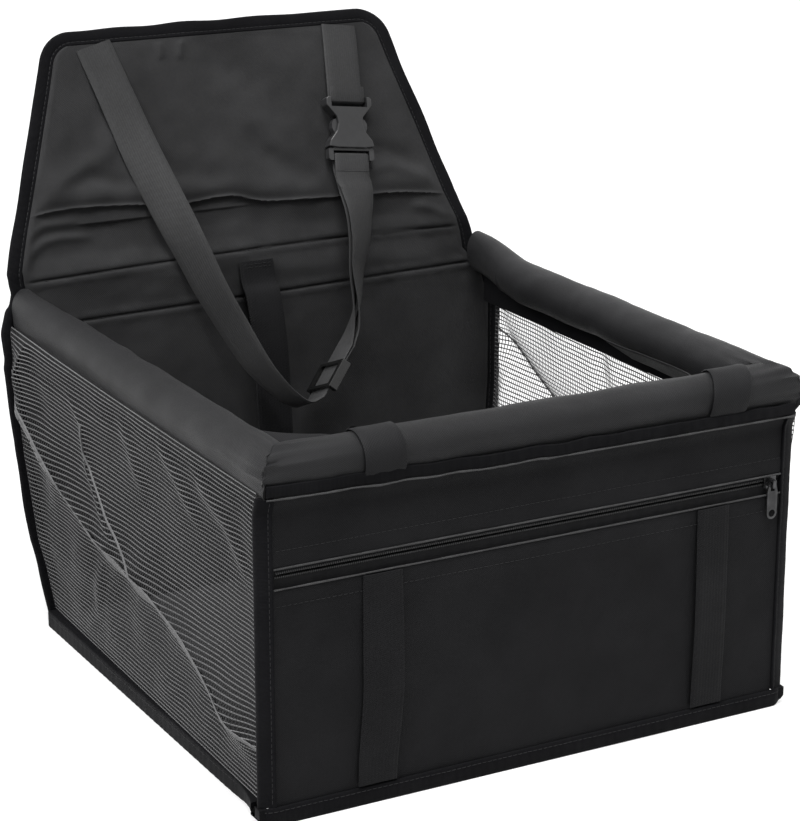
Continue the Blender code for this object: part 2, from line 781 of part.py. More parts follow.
def build_side_sleeve(name, tube_name, side):
    """A sleeve along a side rim: mitred in front, flattened and lifted where it is sewn to the back."""
    section = sleeve_section()
    inset = GAP / 2 * math.sqrt(2)
    rings = []
    for share, reach in ((GATHER_SHARE, 0), (1.0, SLEEVE_GATHER)):
        end = FRONT_RIM_Y + inset + reach
        shape = [(out * share, up * share) for out, up in section]
        rings.append([Vector((side * (SIDE_RIM_X + out), end - out, RIM_Z + up)) for out, up in shape])
    rear = back_front_y(RIM_Z, HALF_COVER)
    flat_from = rear - SLEEVE_REAR_REACH
    steps = 5
    for step in range(steps + 1):
        share = step / steps
        ease = share * share * (3 - 2 * share)
        wide = 1 + (SLEEVE_REAR_WIDTH_SHARE - 1) * ease
        tall = 1 + (SLEEVE_REAR_HEIGHT_SHARE - 1) * ease
        ring = []
        for out, up in sleeve_section(wide, tall):
            z = RIM_Z + SLEEVE_REAR_LIFT * ease + up
            end = back_front_y(z, HALF_COVER) - GAP
            y = flat_from + (end - flat_from) * share
            ring.append(Vector((side * (SIDE_RIM_X + SLEEVE_REAR_SPREAD * ease + out), y, z)))
        rings.append(ring)
    sleeve = loft(name, rings, rim_cloth)
    x = side * SIDE_RIM_X
    tube_front = FRONT_RIM_Y + TUBE_END_REACH
    bore_start = Vector((x, FRONT_RIM_Y - SLEEVE_RADIUS - OVERRUN, RIM_Z))
    cut(sleeve, bore_cutter(name + "_bore", bore_start, Vector((x, flat_from + GAP, RIM_Z))))
    build_tube(tube_name, Vector((x, tube_front, RIM_Z)), Vector((x, flat_from, RIM_Z)))


def build_rim_strap(name, x, side):
    """Webbing from the seam below the front rim, over the rim, then back and under the side rim."""
    lift = SLEEVE_RADIUS + GAP + HALF_WEBBING
    stations = []
    for step in range(WRAP_STEPS + 1):
        turn = WRAP_FROM + (WRAP_TO - WRAP_FROM) * step / WRAP_STEPS
        normal = Vector((0, -math.cos(turn), math.sin(turn)))
        stations.append((Vector((x, FRONT_RIM_Y, RIM_Z)) + normal * lift, AXIS_X.copy(), normal))
    wall_x = SIDE_X - MESH_THICKNESS / 2 - TAPE_THICKNESS - HALF_WEBBING - WRAP_CLEARANCE
    wrapped = stations[-1][0]
    knots = [Vector((x, wrapped.y, wrapped.z, 0))]
    for share, back, up, turn in WRAP_RUN_SHARES:
        knots.append(Vector((x + (side * wall_x - x) * share, SEAT_DEPTH * back, RIM_HEIGHT * up, turn)))
    path = smooth_path(knots, 2)
    run = [knot.to_3d() for knot in path]
    for number in range(1, len(run)):
        after = run[min(number + 1, len(run) - 1)]
        along = (after - run[number - 1]).normalized()
        turn = math.radians(path[number].w)
        across = Vector((math.cos(turn), 0, -side * math.sin(turn)))
        across = (across - along * across.dot(along)).normalized()
        stations.append((run[number], across, across.cross(along).normalized()))
    ribbon(name, stations, BAND_WIDTH, webbing)


def mesh_bow(s, t):
    """How far a side mesh stands out of its plane, from a share along the wall and a share up it."""
    edge = min(1.0, 16 * s * (1 - s) * t * (1 - t))
    away = t - between(CREASE_SHARES, s)
    if away > 0:
        bow = MESH_RIDGE * math.exp(-away / MESH_FADE_SHARE)
    elif away > -MESH_FADE_SHARE:
        bow = MESH_RIDGE + (MESH_RIDGE + MESH_VALLEY) * away / MESH_FADE_SHARE
    else:
        bow = -MESH_VALLEY
    return bow * edge


def opening_lines(count):
    """Shares at which bars and openings take turns, with a bar at both ends."""
    bar = (1 - MESH_OPEN_SHARE) / (count + 1)
    opening = MESH_OPEN_SHARE / count
    lines = [0.0, bar]
    for _ in range(count):
        lines += [lines[-1] + opening, lines[-1] + opening + bar]
    return lines


def mesh_spot(side, s, t, offset):
    """A point of a side mesh, a given distance out of its middle."""
    foot = BASE_BINDING_HEIGHT + GAP
    z = foot + (WALL_TOP - foot) * t
    front_y = FRONT_Y + HALF_BINDING + GAP + MESH_THICKNESS
    rear_y = back_front_y(z, HALF_BINDING + GAP + MESH_THICKNESS)
    rear_x = between(BACK_OUTLINE, z / math.cos(BACK_LEAN)) - BINDING_WIDTH / 2
    x = SIDE_X + (rear_x - SIDE_X) * s + mesh_bow(s, t) + offset
    return Vector((side * x, front_y + (rear_y - front_y) * s, z))


def build_side_mesh(name, side):
    """An openwork sheet from the front binding to the back one, with the crease that folding leaves."""
    across = opening_lines(MESH_OPENINGS_ACROSS)
    up = opening_lines(MESH_OPENINGS_UP)
    rows = len(up)
    count = len(across) * rows
    half = MESH_THICKNESS / 2
    points = [mesh_spot(side, s, t, offset) for offset in (half, -half) for s in across for t in up]
    cells = set()
    for i in range(len(across) - 1):
        for j in range(rows - 1):
            if i % 2 == 0 or j % 2 == 0:
                cells.add((i, j))
    faces = []
    for i, j in sorted(cells):
        a = i * rows + j
        corners = (a, a + 1, a + rows + 1, a + rows)
        faces.append(corners)
        faces.append(tuple(count + corner for corner in reversed(corners)))
        beside = ((i - 1, j), (i, j + 1), (i + 1, j), (i, j - 1))
        for cell, near, far in zip(beside, corners, corners[1:] + corners[:1]):
            if cell not in cells:
                faces.append((near, count + near, count + far, far))
    add_piece(name, points, faces, mesh_cloth)


def build_hem(name, side):
    """Tape that backs the mesh's top edge from inside."""
    outer = SIDE_X - MESH_THICKNESS / 2 - GAP
    inner = outer - TAPE_THICKNESS
    low = Vector((side * outer, COVER_INNER_Y + GAP, WALL_TOP - HEM_HEIGHT))
    high = Vector((side * inner, back_front_y(WALL_TOP - HEM_HEIGHT, HALF_COVER) - GAP, WALL_TOP))
    block(name, low, high, binding_tape)


def bar_section(half_width, half_depth):
    """The rounded section of a binding."""
    edge = half_depth * BINDING_ROUND_SHARE
    return (
        (half_width - edge, -half_depth),
        (half_width, -half_depth + edge),
        (half_width, half_depth - edge),
        (half_width - edge, half_depth),
        (-half_width, half_depth),
        (-half_width, -half_depth),
    )


def straight_binding(name, start, end, outward, depth_way):
    """A flat bound edge between two points, with its rounded edge facing outward."""
    rings = []
    for place in (start, end):
        rings.append(
            [place + outward * u + depth_way * w for u, w in bar_section(BINDING_WIDTH / 2, HALF_BINDING)]
        )
    loft(name, rings, binding_tape)


def build_box_bindings():
    centre_x = PANEL_HALF_WIDTH + GAP + BINDING_WIDTH / 2
    top = WALL_TOP - GAP
    foot = BASE_BINDING_HEIGHT + GAP
    for name, side in (("front_left_binding", -1), ("front_right_binding", 1)):
        start = Vector((side * centre_x, FRONT_Y, foot))
        end = Vector((side * centre_x, FRONT_Y, top))
        straight_binding(name, start, end, AXIS_X * side, AXIS_Y)
    outer_x = centre_x + BINDING_WIDTH / 2
    front = FRONT_Y - HALF_BINDING
    lip = PANEL_OUTER_Y - GAP
    sill = FRONT_FOOT - GAP
    section = (
        (front, 0),
        (COVER_INNER_Y, 0),
        (COVER_INNER_Y, sill),
        (lip, sill),
        (lip, BASE_BINDING_HEIGHT),
        (front, BASE_BINDING_HEIGHT),
    )
    rings = [[Vector((x, y, z)) for y, z in section] for x in (-outer_x, outer_x)]
    loft("front_bottom_binding", rings, binding_tape)
    inner_x = FLOOR_HALF_WIDTH + GAP
    side_outer = SIDE_X + BINDING_THICKNESS
    front_end = COVER_INNER_Y + GAP
    rear_end = back_front_y(0, HALF_COVER) - GAP
    for name, side in (("left_base_binding", -1), ("right_base_binding", 1)):
        low = (min(side * inner_x, side * side_outer), front_end, 0)
        high = (max(side * inner_x, side * side_outer), rear_end, BASE_BINDING_HEIGHT)
        soften(block(name, low, high, binding_tape), PANEL_THICKNESS / 2)
    rear_face = back_front_y(BASE_BINDING_HEIGHT, -HALF_COVER) + GAP
    half = between(BACK_OUTLINE, 0) - BINDING_WIDTH - GAP
    high = (half, rear_face + BINDING_THICKNESS, BASE_BINDING_HEIGHT)
    soften(block("rear_base_binding", (-half, rear_face, 0), high, binding_tape), PANEL_THICKNESS / 2)


def back_rows():
    """Heights up the back panel at which its outline is read."""
    foot = FRONT_FOOT
    top = BACK_LENGTH - FLAP_SOFT_FRONT - GAP - HALF_COVER
    return [foot + (top - foot) * row / BACK_ROWS for row in range(BACK_ROWS + 1)]


def back_ring(half, v, depth):
    """Four corners round the back panel at a distance up it."""
    corners = ((-half, -depth), (half, -depth), (half, depth), (-half, depth))
    return [BACK @ Vector((u, v, w)) for u, w in corners]


def build_back():
    """The lower back: a padded cover round a board, rounded along its top below the flap's hinge."""
    rows = back_rows()
    rings = []
    for v in rows:
        half = between(BACK_OUTLINE, v) - BINDING_WIDTH - GAP
        rings.append(back_ring(half, v, HALF_COVER))
    for step in range(1, KNUCKLE_STEPS):
        turn = math.pi / 2 * step / KNUCKLE_STEPS
        rings.append(back_ring(half, rows[-1] + HALF_COVER * math.sin(turn), HALF_COVER * math.cos(turn)))
    cover = loft("back_cover", rings, cloth)
    half = between(BACK_OUTLINE, 0) - BINDING_WIDTH - BACK_BOARD_MARGIN
    foot = FRONT_FOOT + PANEL_THICKNESS / 2
    block("back_board", (-half, foot, -HALF_BOARD), (half, BACK_BOARD_TOP, HALF_BOARD), board, frame=BACK)
    pocket = block(
        "back_pocket",
        (-half - GAP, -OVERRUN, -HALF_BOARD - GAP),
        (half + GAP, BACK_BOARD_TOP + GAP, HALF_BOARD + GAP),
        helper,
        frame=BACK,
    )
    cut(cover, pocket)
    for name, side in (("rear_left_binding", -1), ("rear_right_binding", 1)):
        rings = []
        for v in rows:
            middle = between(BACK_OUTLINE, v) - BINDING_WIDTH / 2
            section = bar_section(BINDING_WIDTH / 2, HALF_BINDING)
            rings.append([BACK @ Vector((side * (middle + u), v, w)) for u, w in section])
        loft(name, rings, binding_tape)


def flap_edge(inset):
    """The flap's outline from one bottom corner over the top to the other, moved in by an inset."""
    run = FLAP_BOTTOM_HALF - FLAP_TOP_HALF
    slant = math.hypot(run, FLAP_HEIGHT)
    shift = inset * slant / FLAP_HEIGHT
    slope = run / FLAP_HEIGHT
    top = FLAP_HEIGHT - inset
    bottom_half = FLAP_BOTTOM_HALF - shift
    corner = FLAP_CORNER - inset
    corner_turn = math.atan2(FLAP_HEIGHT, run)
    reach = corner / math.tan((math.pi - corner_turn) / 2)
    top_half = bottom_half - slope * top
    centre_u = top_half - reach
    centre_v = top - corner
    right = [(bottom_half, 0.0)]
    lean = math.atan(slope)
    for step in range(FLAP_CORNER_STEPS + 1):
        turn = lean + (math.pi / 2 - lean) * step / FLAP_CORNER_STEPS
        right.append((centre_u + corner * math.cos(turn), centre_v + corner * math.sin(turn)))
    left = [(-u, v) for u, v in right]
    return left + right[::-1]


def flap_half_width(v):
    """Half the width of the flap's cover at a height up it."""
    inset = BINDING_WIDTH + GAP
    right = [(u, w) for u, w in flap_edge(inset) if u > 0]
    table = sorted((w, u) for u, w in right)
    return between(table, v)


def flap_face(v, share):
    """How far the flap's front stands out: soft below its crease, crowned over its board."""
    if v < FLAP_CREASE_V:
        return FLAP_SOFT_FRONT + (FLAP_FRONT - FLAP_SOFT_FRONT) * (v / FLAP_CREASE_V) ** 2
    return FLAP_FRONT - (FLAP_FRONT - FLAP_SOFT_FRONT) * share**6


def build_flap(flap_axis):
    """The flap: a round lower edge on the hinge line, a soft band, then a padded board."""
    top = FLAP_HEIGHT - BINDING_WIDTH - GAP
    rows = [FLAP_CREASE_V * row / FLAP_SOFT_ROWS for row in range(FLAP_SOFT_ROWS)]
    corner_foot = top - FLAP_CORNER + BINDING_WIDTH
    rise = corner_foot - FLAP_CREASE_V
    rows += [FLAP_CREASE_V + rise * row / FLAP_STIFF_ROWS for row in range(FLAP_STIFF_ROWS)]
    arc = sorted({round(v, 6) for u, v in flap_edge(BINDING_WIDTH + GAP) if v >= corner_foot})
    rows += [v for v in arc if v > rows[-1] + GAP]
    rings = []
    for step in range(KNUCKLE_STEPS):
        turn = math.pi / 2 * (1 - (step + 0.5) / KNUCKLE_STEPS)
        v = -FLAP_SOFT_FRONT * math.sin(turn)
        depth = FLAP_SOFT_FRONT * math.cos(turn)
        rings.append(flap_row(v, flap_half_width(0), depth, depth, 0))
    for v in rows:
        half = flap_half_width(v)
        rear = FLAP_SOFT_FRONT + (FLAP_REAR - FLAP_SOFT_FRONT) * min(1.0, v / FLAP_CREASE_V)
        rings.append(flap_row(v, half, None, rear, 1))
    cover = loft("flap_cover", rings, cloth, flap_axis)
    foot = FLAP_CREASE_V + PANEL_THICKNESS
    lid = top - PANEL_THICKNESS
    low_half = flap_half_width(foot) - FLAP_BOARD_MARGIN
    high_half = flap_half_width(corner_foot) - FLAP_BOARD_MARGIN
    shoulder = corner_foot - FLAP_BOARD_MARGIN
    lid_half = high_half - FLAP_BOARD_MARGIN
    right = [(low_half, foot), (high_half, shoulder), (lid_half, lid)]
    outline = right + [(-u, v) for u, v in right[::-1]]
    plate("flap_board", FLAP, outline, -HALF_BOARD, HALF_BOARD, board, flap_axis)
    grown = (
        (-low_half - PANEL_THICKNESS, foot - GAP),
        (low_half + PANEL_THICKNESS, foot - GAP),
        (high_half + PANEL_THICKNESS, shoulder + GAP),
        (lid_half + PANEL_THICKNESS, lid + GAP),
        (lid_half + PANEL_THICKNESS, top + OVERRUN),
        (-lid_half - PANEL_THICKNESS, top + OVERRUN),
        (-lid_half - PANEL_THICKNESS, lid + GAP),
        (-high_half - PANEL_THICKNESS, shoulder + GAP),
    )
    cut(cover, plate("flap_pocket", FLAP, grown, -HALF_BOARD - GAP, HALF_BOARD + GAP, helper, flap_axis))
    outer = flap_edge(0)
    inner = flap_edge(BINDING_WIDTH)
    rings = []
    for (u, v), (p, q) in zip(outer, inner):
        rings.append([FLAP @ Vector(point) for point in binding_ring(u, v, p, q)])
    loft("flap_binding", rings, binding_tape, flap_axis)


def flap_row(v, half, front, rear, crowned):
    """One closed row of the flap's cover, front face first."""
    row = []
    for column in range(FLAP_COLUMNS + 1):
        share = 2 * column / FLAP_COLUMNS - 1
        out = flap_face(v, abs(share)) if crowned else front
        row.append(FLAP @ Vector((half * share, v, out)))
    for column in range(FLAP_COLUMNS, -1, -1):
        share = 2 * column / FLAP_COLUMNS - 1
        row.append(FLAP @ Vector((half * share, v, -rear)))
    return row


def binding_ring(u, v, p, q):
    """A binding's section from its outer edge (u, v) to its inner edge (p, q)."""
    ru = u + (p - u) * BINDING_EDGE_SHARE
    rv = v + (q - v) * BINDING_EDGE_SHARE
    soft = HALF_BINDING / 2
    return (
        (ru, rv, HALF_BINDING),
        (u, v, soft),
        (u, v, -soft),
        (ru, rv, -HALF_BINDING),
        (p, q, -HALF_BINDING),
        (p, q, HALF_BINDING),
    )


def buckle_frame():
    """The buckle's frame: its origin at the socket's mouth, up along the strap towards the flap's seam."""
    lean = math.atan2(RIGHT_SEAM_X - MOUTH_X, PIVOT_V - MOUTH_V)
    return FLAP @ Matrix.Translation((MOUTH_X, MOUTH_V, LOOP_OUT)) @ Matrix.Rotation(-lean, 4, "Z")


def profile_cutter(name, profile, half_width, frame, axis):
    """A cutter with one (up, out) profile all the way across."""
    rings = [[frame @ Vector((u, v, w)) for v, w in profile] for u in (-half_width, half_width)]
    return loft(name, rings, helper, axis)


def bar_cutter(name, foot, bar_near, bar_far, frame, axis):
    """A webbing slot, and the room in front of and behind the slim bar beyond it."""
    over = SOCKET_DEPTH / 2 + OVERRUN
    slim = BAR_THICKNESS / 2
    behind = [(foot, -over), (bar_far, -over), (bar_far, -slim), (bar_near, -slim)]
    profile = behind + [(v, -w) for v, w in behind[::-1]]
    return profile_cutter(name, profile, SLOT_HALF, frame, axis)


def build_socket(frame, axis):
    """The socket: two waisted plates joined above and by posts beside the mouth, open at the sides."""
    right = [(SOCKET_HALF * across, SOCKET_LENGTH * up) for across, up in SOCKET_OUTLINE_SHARES]
    outline = right + [(-u, v) for u, v in right[::-1]]
    half = SOCKET_DEPTH / 2
    socket = plate("buckle_socket", frame, outline, -half, half, buckle_plastic, axis)
    soften(socket, BUCKLE_EDGE)
    inner = half - SOCKET_PLATE
    chamber = block(
        "socket_chamber",
        (-SOCKET_POST_INNER, -OVERRUN, -inner),
        (SOCKET_POST_INNER, SOCKET_CHAMBER, inner),
        helper,
        axis,
        frame,
    )
    cut(socket, chamber)
    bar = SOCKET_LENGTH - BAR_DEPTH
    cut(socket, bar_cutter("socket_slot", bar - SLOT_HEIGHT, bar, SOCKET_LENGTH + OVERRUN, frame, axis))


def build_plug(frame, axis):
    """The plug: base with a webbing bar, two arms with release pads at the socket's waist, and a tongue."""
    right = [(SOCKET_HALF * across, SOCKET_LENGTH * up) for across, up in PLUG_OUTLINE_SHARES]
    outline = right + [(-u, v) for u, v in right[-2::-1]]
    half = PLUG_DEPTH / 2
    plug = plate("buckle_plug", frame, outline, -half, half, buckle_plastic, axis)
    bar = -PLUG_BASE + PLUG_BAR_DEPTH
    cut(plug, bar_cutter("plug_slot", bar + PLUG_SLOT_HEIGHT, bar, -PLUG_BASE - OVERRUN, frame, axis))


def wrap_stations(frame, bar_v, bar_depth, way, rear_from, front_to):
    """Stations that run behind a bar, round it and back in front, in the buckle's frame."""
    reach = BAR_THICKNESS / 2 + GAP + HALF_WEBBING
    middle = bar_v
    spots = [(rear_from, -reach)]
    for step in range(KNUCKLE_STEPS + 1):
        turn = math.pi * step / KNUCKLE_STEPS
        round_bar = (bar_depth + reach * math.sin(turn)) / 2
        spots.append((middle + way * round_bar, -reach * math.cos(turn)))
    spots.append((front_to, reach))
    return [frame @ Vector((0, v, w)) for v, w in spots]


def stations_of(path, across_of):
    """Stations for a ribbon from path points and a wanted width direction at each."""
    stations = []
    for number, centre in enumerate(path):
        before = path[max(0, number - 1)]
        after = path[min(len(path) - 1, number + 1)]
        along = (after - before).normalized()
        across = across_of(number)
        across = (across - along * across.dot(along)).normalized()
        stations.append((centre, across, across.cross(along).normalized()))
    return stations


def build_short_strap(frame, axis):
    """The short strap: from the flap's seam down behind the socket's bar, round it and sewn back."""
    out = FLAP_FRONT + GAP + HALF_WEBBING
    bar = SOCKET_LENGTH - BAR_DEPTH / 2
    wrapped = wrap_stations(frame, bar, BAR_DEPTH, -1, SOCKET_LENGTH + BAR_DEPTH, SOCKET_LENGTH + WRAP_TAIL)
    start = FLAP @ Vector((RIGHT_SEAM_X, PIVOT_V, out))
    lean = math.atan2(RIGHT_SEAM_X - MOUTH_X, PIVOT_V - MOUTH_V)
    path = [start, *wrapped]
    side = FLAP.to_3x3() @ Vector((math.cos(lean), -math.sin(lean), 0))
    stations = stations_of(path, lambda number: side)
    flat = FLAP.to_3x3() @ Vector((1 / math.cos(lean), 0, 0))
    centre, _, normal = stations[0]
    stations[0] = (centre, flat, normal)
    ribbon("short_strap", stations, STRAP_WIDTH, strap_webbing, axis)


def turned(degrees):
    """A width direction turned from across towards out of the flap."""
    turn = math.radians(degrees)
    return Vector((math.cos(turn), 0, math.sin(turn)))


def straight_run():
    """The run that the adjuster slides on: its foot, length, direction and width direction."""
    low = Vector(LEFT_RUN[-1]).to_3d()
    high = Vector(RIGHT_RUN[0]).to_3d()
    along = (high - low).normalized()
    across = turned(RIGHT_RUN[0][-1])
    across = (across - along * across.dot(along)).normalized()
    return low, (high - low).length, along, across


def adjuster_frame():
    """The adjuster's frame: across the webbing, up the run, towards the webbing's free side."""
    low, _, along, across = straight_run()
    basis = Matrix((across, along, across.cross(along))).transposed().to_4x4()
    return FLAP @ Matrix.Translation(low + along * ADJUSTER_AT) @ basis


def flap_stations(knots):
    """Stations in the flap's frame from knots of (across, up, out, turn)."""
    places = [knot.to_3d() for knot in knots]
    return stations_of(places, lambda number: turned(knots[number].w))


def placed(frame, stations):
    """Stations moved from a frame into the world."""
    basis = frame.to_3x3()
    return [(frame @ centre, basis @ across, basis @ normal) for centre, across, normal in stations]


def rising_run(frame, reach):
    """Smoothed knots from the top of the straight run to just below the plug's bar, behind it."""
    below_bar = FLAP.inverted() @ (frame @ Vector((0, -PLUG_BASE - BAR_DEPTH * 2, reach)))
    knots = [Vector(knot) for knot in RIGHT_RUN]
    return smooth_path([*knots, Vector((*below_bar, 180))], STRAP_SMOOTHING)


def build_long_strap(frame, axis):
    """The long strap: from the flap's left seam down, up through the adjuster and round the plug's bar."""
    out = FLAP_FRONT + GAP + HALF_WEBBING
    falling = [Vector((LEFT_SEAM_X, PIVOT_V, out, 0))] + [Vector(knot) for knot in LEFT_RUN]
    low, length, along, _ = straight_run()
    turn = RIGHT_RUN[0][-1]
    lead = [Vector((*(low + along * RUN_LEAD), turn)), Vector((*(low + along * (length - RUN_LEAD)), turn))]
    reach = BAR_THICKNESS / 2 + GAP + HALF_WEBBING
    knots = smooth_path(falling, STRAP_SMOOTHING) + lead + rising_run(frame, -reach)
    stations = placed(FLAP, flap_stations(knots))
    centre, _, normal = stations[0]
    tangent = (stations[1][0] - centre).normalized()
    stretch = 1 / math.sqrt(1 - tangent.dot(AXIS_X) ** 2)
    stations[0] = (centre, AXIS_X * stretch, normal)
    bar = -PLUG_BASE + PLUG_BAR_DEPTH / 2
    below = -PLUG_BASE - BAR_DEPTH * 2
    wrapped = wrap_stations(frame, bar, PLUG_BAR_DEPTH, 1, below, -PLUG_BASE - WRAP_TAIL)
    side = frame.to_3x3() @ -AXIS_X
    stations = stations[:-1] + stations_of(wrapped, lambda number: side)
    ribbon("long_strap", stations, STRAP_WIDTH, strap_webbing, axis)


def build_adjuster(axis):
    """A tri-glide whose centre bar is set back, so that the webbing runs straight over it."""
    frame = adjuster_frame()
    centre_face = -(WEB_STEP + HALF_WEBBING + GAP)
    back = centre_face - ADJUSTER_CENTRE_DEPTH
    face = HALF_WEBBING + GAP + ADJUSTER_FACE
    half_w = ADJUSTER_HALF_WIDTH
    half_h = ADJUSTER_HALF_HEIGHT
    body = block("adjuster", (-half_w, -half_h, back), (half_w, half_h, face), gloss_plastic, axis, frame)
    soften(body, BUCKLE_EDGE)
    over = half_h + OVERRUN
    inner = half_h - ADJUSTER_OUTER_BAR
    under = HALF_WEBBING + GAP
    low = back - OVERRUN
    high = face + OVERRUN
    centre = ADJUSTER_CENTRE_HALF
    profile = (
        (-over, low),
        (-centre, low),
        (-centre, centre_face),
        (centre, centre_face),
        (centre, low),
        (over, low),
        (over, under),
        (inner, under),
        (inner, high),
        (-inner, high),
        (-inner, under),
        (-over, under),
    )
    cut(body, profile_cutter("adjuster_slots", profile, SLOT_HALF, frame, axis))
    return frame


def build_return_strap(frame, axis, adjuster):
    """The run from the plug's bar down to the adjuster's centre bar, where it is sewn back on itself."""
    reach = BAR_THICKNESS / 2 + GAP + HALF_WEBBING
    head = -PLUG_BASE - WRAP_TAIL - GAP
    start = frame @ Vector((0, head, reach))
    lead = frame @ Vector((0, head - BAR_DEPTH * 2, reach))
    side = frame.to_3x3() @ -AXIS_X
    rising = flap_stations(rising_run(frame, -reach))
    stations = []
    last_v = (FLAP.inverted() @ lead).y - BAR_DEPTH
    for centre, across, normal in rising:
        if centre.y < last_v:
            stations.append((centre - normal * (WEB_STEP + between(SLACK, centre.y)), across, normal))
    stations = placed(FLAP, stations)
    stations.reverse()
    path = [start, lead] + [centre for centre, _, _ in stations]
    across = [side, side] + [width for _, width, _ in stations]
    tri = adjuster.to_3x3() @ AXIS_X
    front = -WEB_STEP
    rear_out = front - (WEB_STEP + ADJUSTER_CENTRE_DEPTH + GAP)
    drop = ADJUSTER_CENTRE_HALF + GAP * 2 + HALF_WEBBING
    edge = ADJUSTER_CENTRE_HALF + GAP
    turn_in = HALF_WEBBING + GAP / 2
    spots = (
        (ADJUSTER_HALF_HEIGHT, front),
        (edge, front),
        (-edge, front),
        (-drop, front - turn_in),
        (-drop, rear_out + turn_in),
        (-edge, rear_out),
        (SEWN_TAIL, rear_out),
    )
    for v, w in spots:
        path.append(adjuster @ Vector((0, v, w)))
        across.append(tri)
    path.reverse()
    across.reverse()
    stations = stations_of(path, lambda number: across[number])
    ribbon("return_strap", stations, STRAP_WIDTH, strap_webbing, axis)


def build_tether():
    """Webbing sewn to the back panel, hanging to an eye; returns the eye's middle."""
    out = HALF_COVER + GAP + HALF_WEBBING
    lift = EYE_WIRE + GAP + HALF_WEBBING
    eye = BACK @ Vector((TETHER_X, EYE_Z, EYE_OUT))
    bar = eye + AXIS_Z * EYE_HALF_HEIGHT
    points = [BACK @ Vector((TETHER_X, TETHER_TOP, out))]
    points += [BACK @ Vector((TETHER_X, v, w)) for v, w in TETHER_ROUTE]
    points.append(bar + Vector((0, lift, lift * 3)))
    path = smooth_path(points, STRAP_SMOOTHING)
    for step in range(KNUCKLE_STEPS + 1):
        turn = math.pi * step / KNUCKLE_STEPS
        path.append(bar + Vector((0, lift * math.cos(turn), -lift * math.sin(turn))))
    path.append(bar + Vector((0, -lift, lift * 3)))
    path.append(bar + Vector((0, -lift + GAP, SEWN_TAIL)))
    stations = stations_of(path, lambda number: AXIS_X)
    ribbon("tether_strap", stations, STRAP_WIDTH, strap_webbing)
    return eye


def wire_rings(path, closed, radius, sides, normal):
    """Rings of a round wire along a flat path."""
    rings = []
    count = len(path)
    for number, centre in enumerate(path):
        before = path[number - 1] if closed or number else path[0]
        after = path[(number + 1) % count] if closed or number < count - 1 else path[-1]
        along = (after - before).normalized()
        out = along.cross(normal).normalized()
        ring = []
        for side in range(sides):
            turn = 2 * math.pi * side / sides
            ring.append(centre + out * (radius * math.cos(turn)) + normal * (radius * math.sin(turn)))
        rings.append(ring)
    return rings


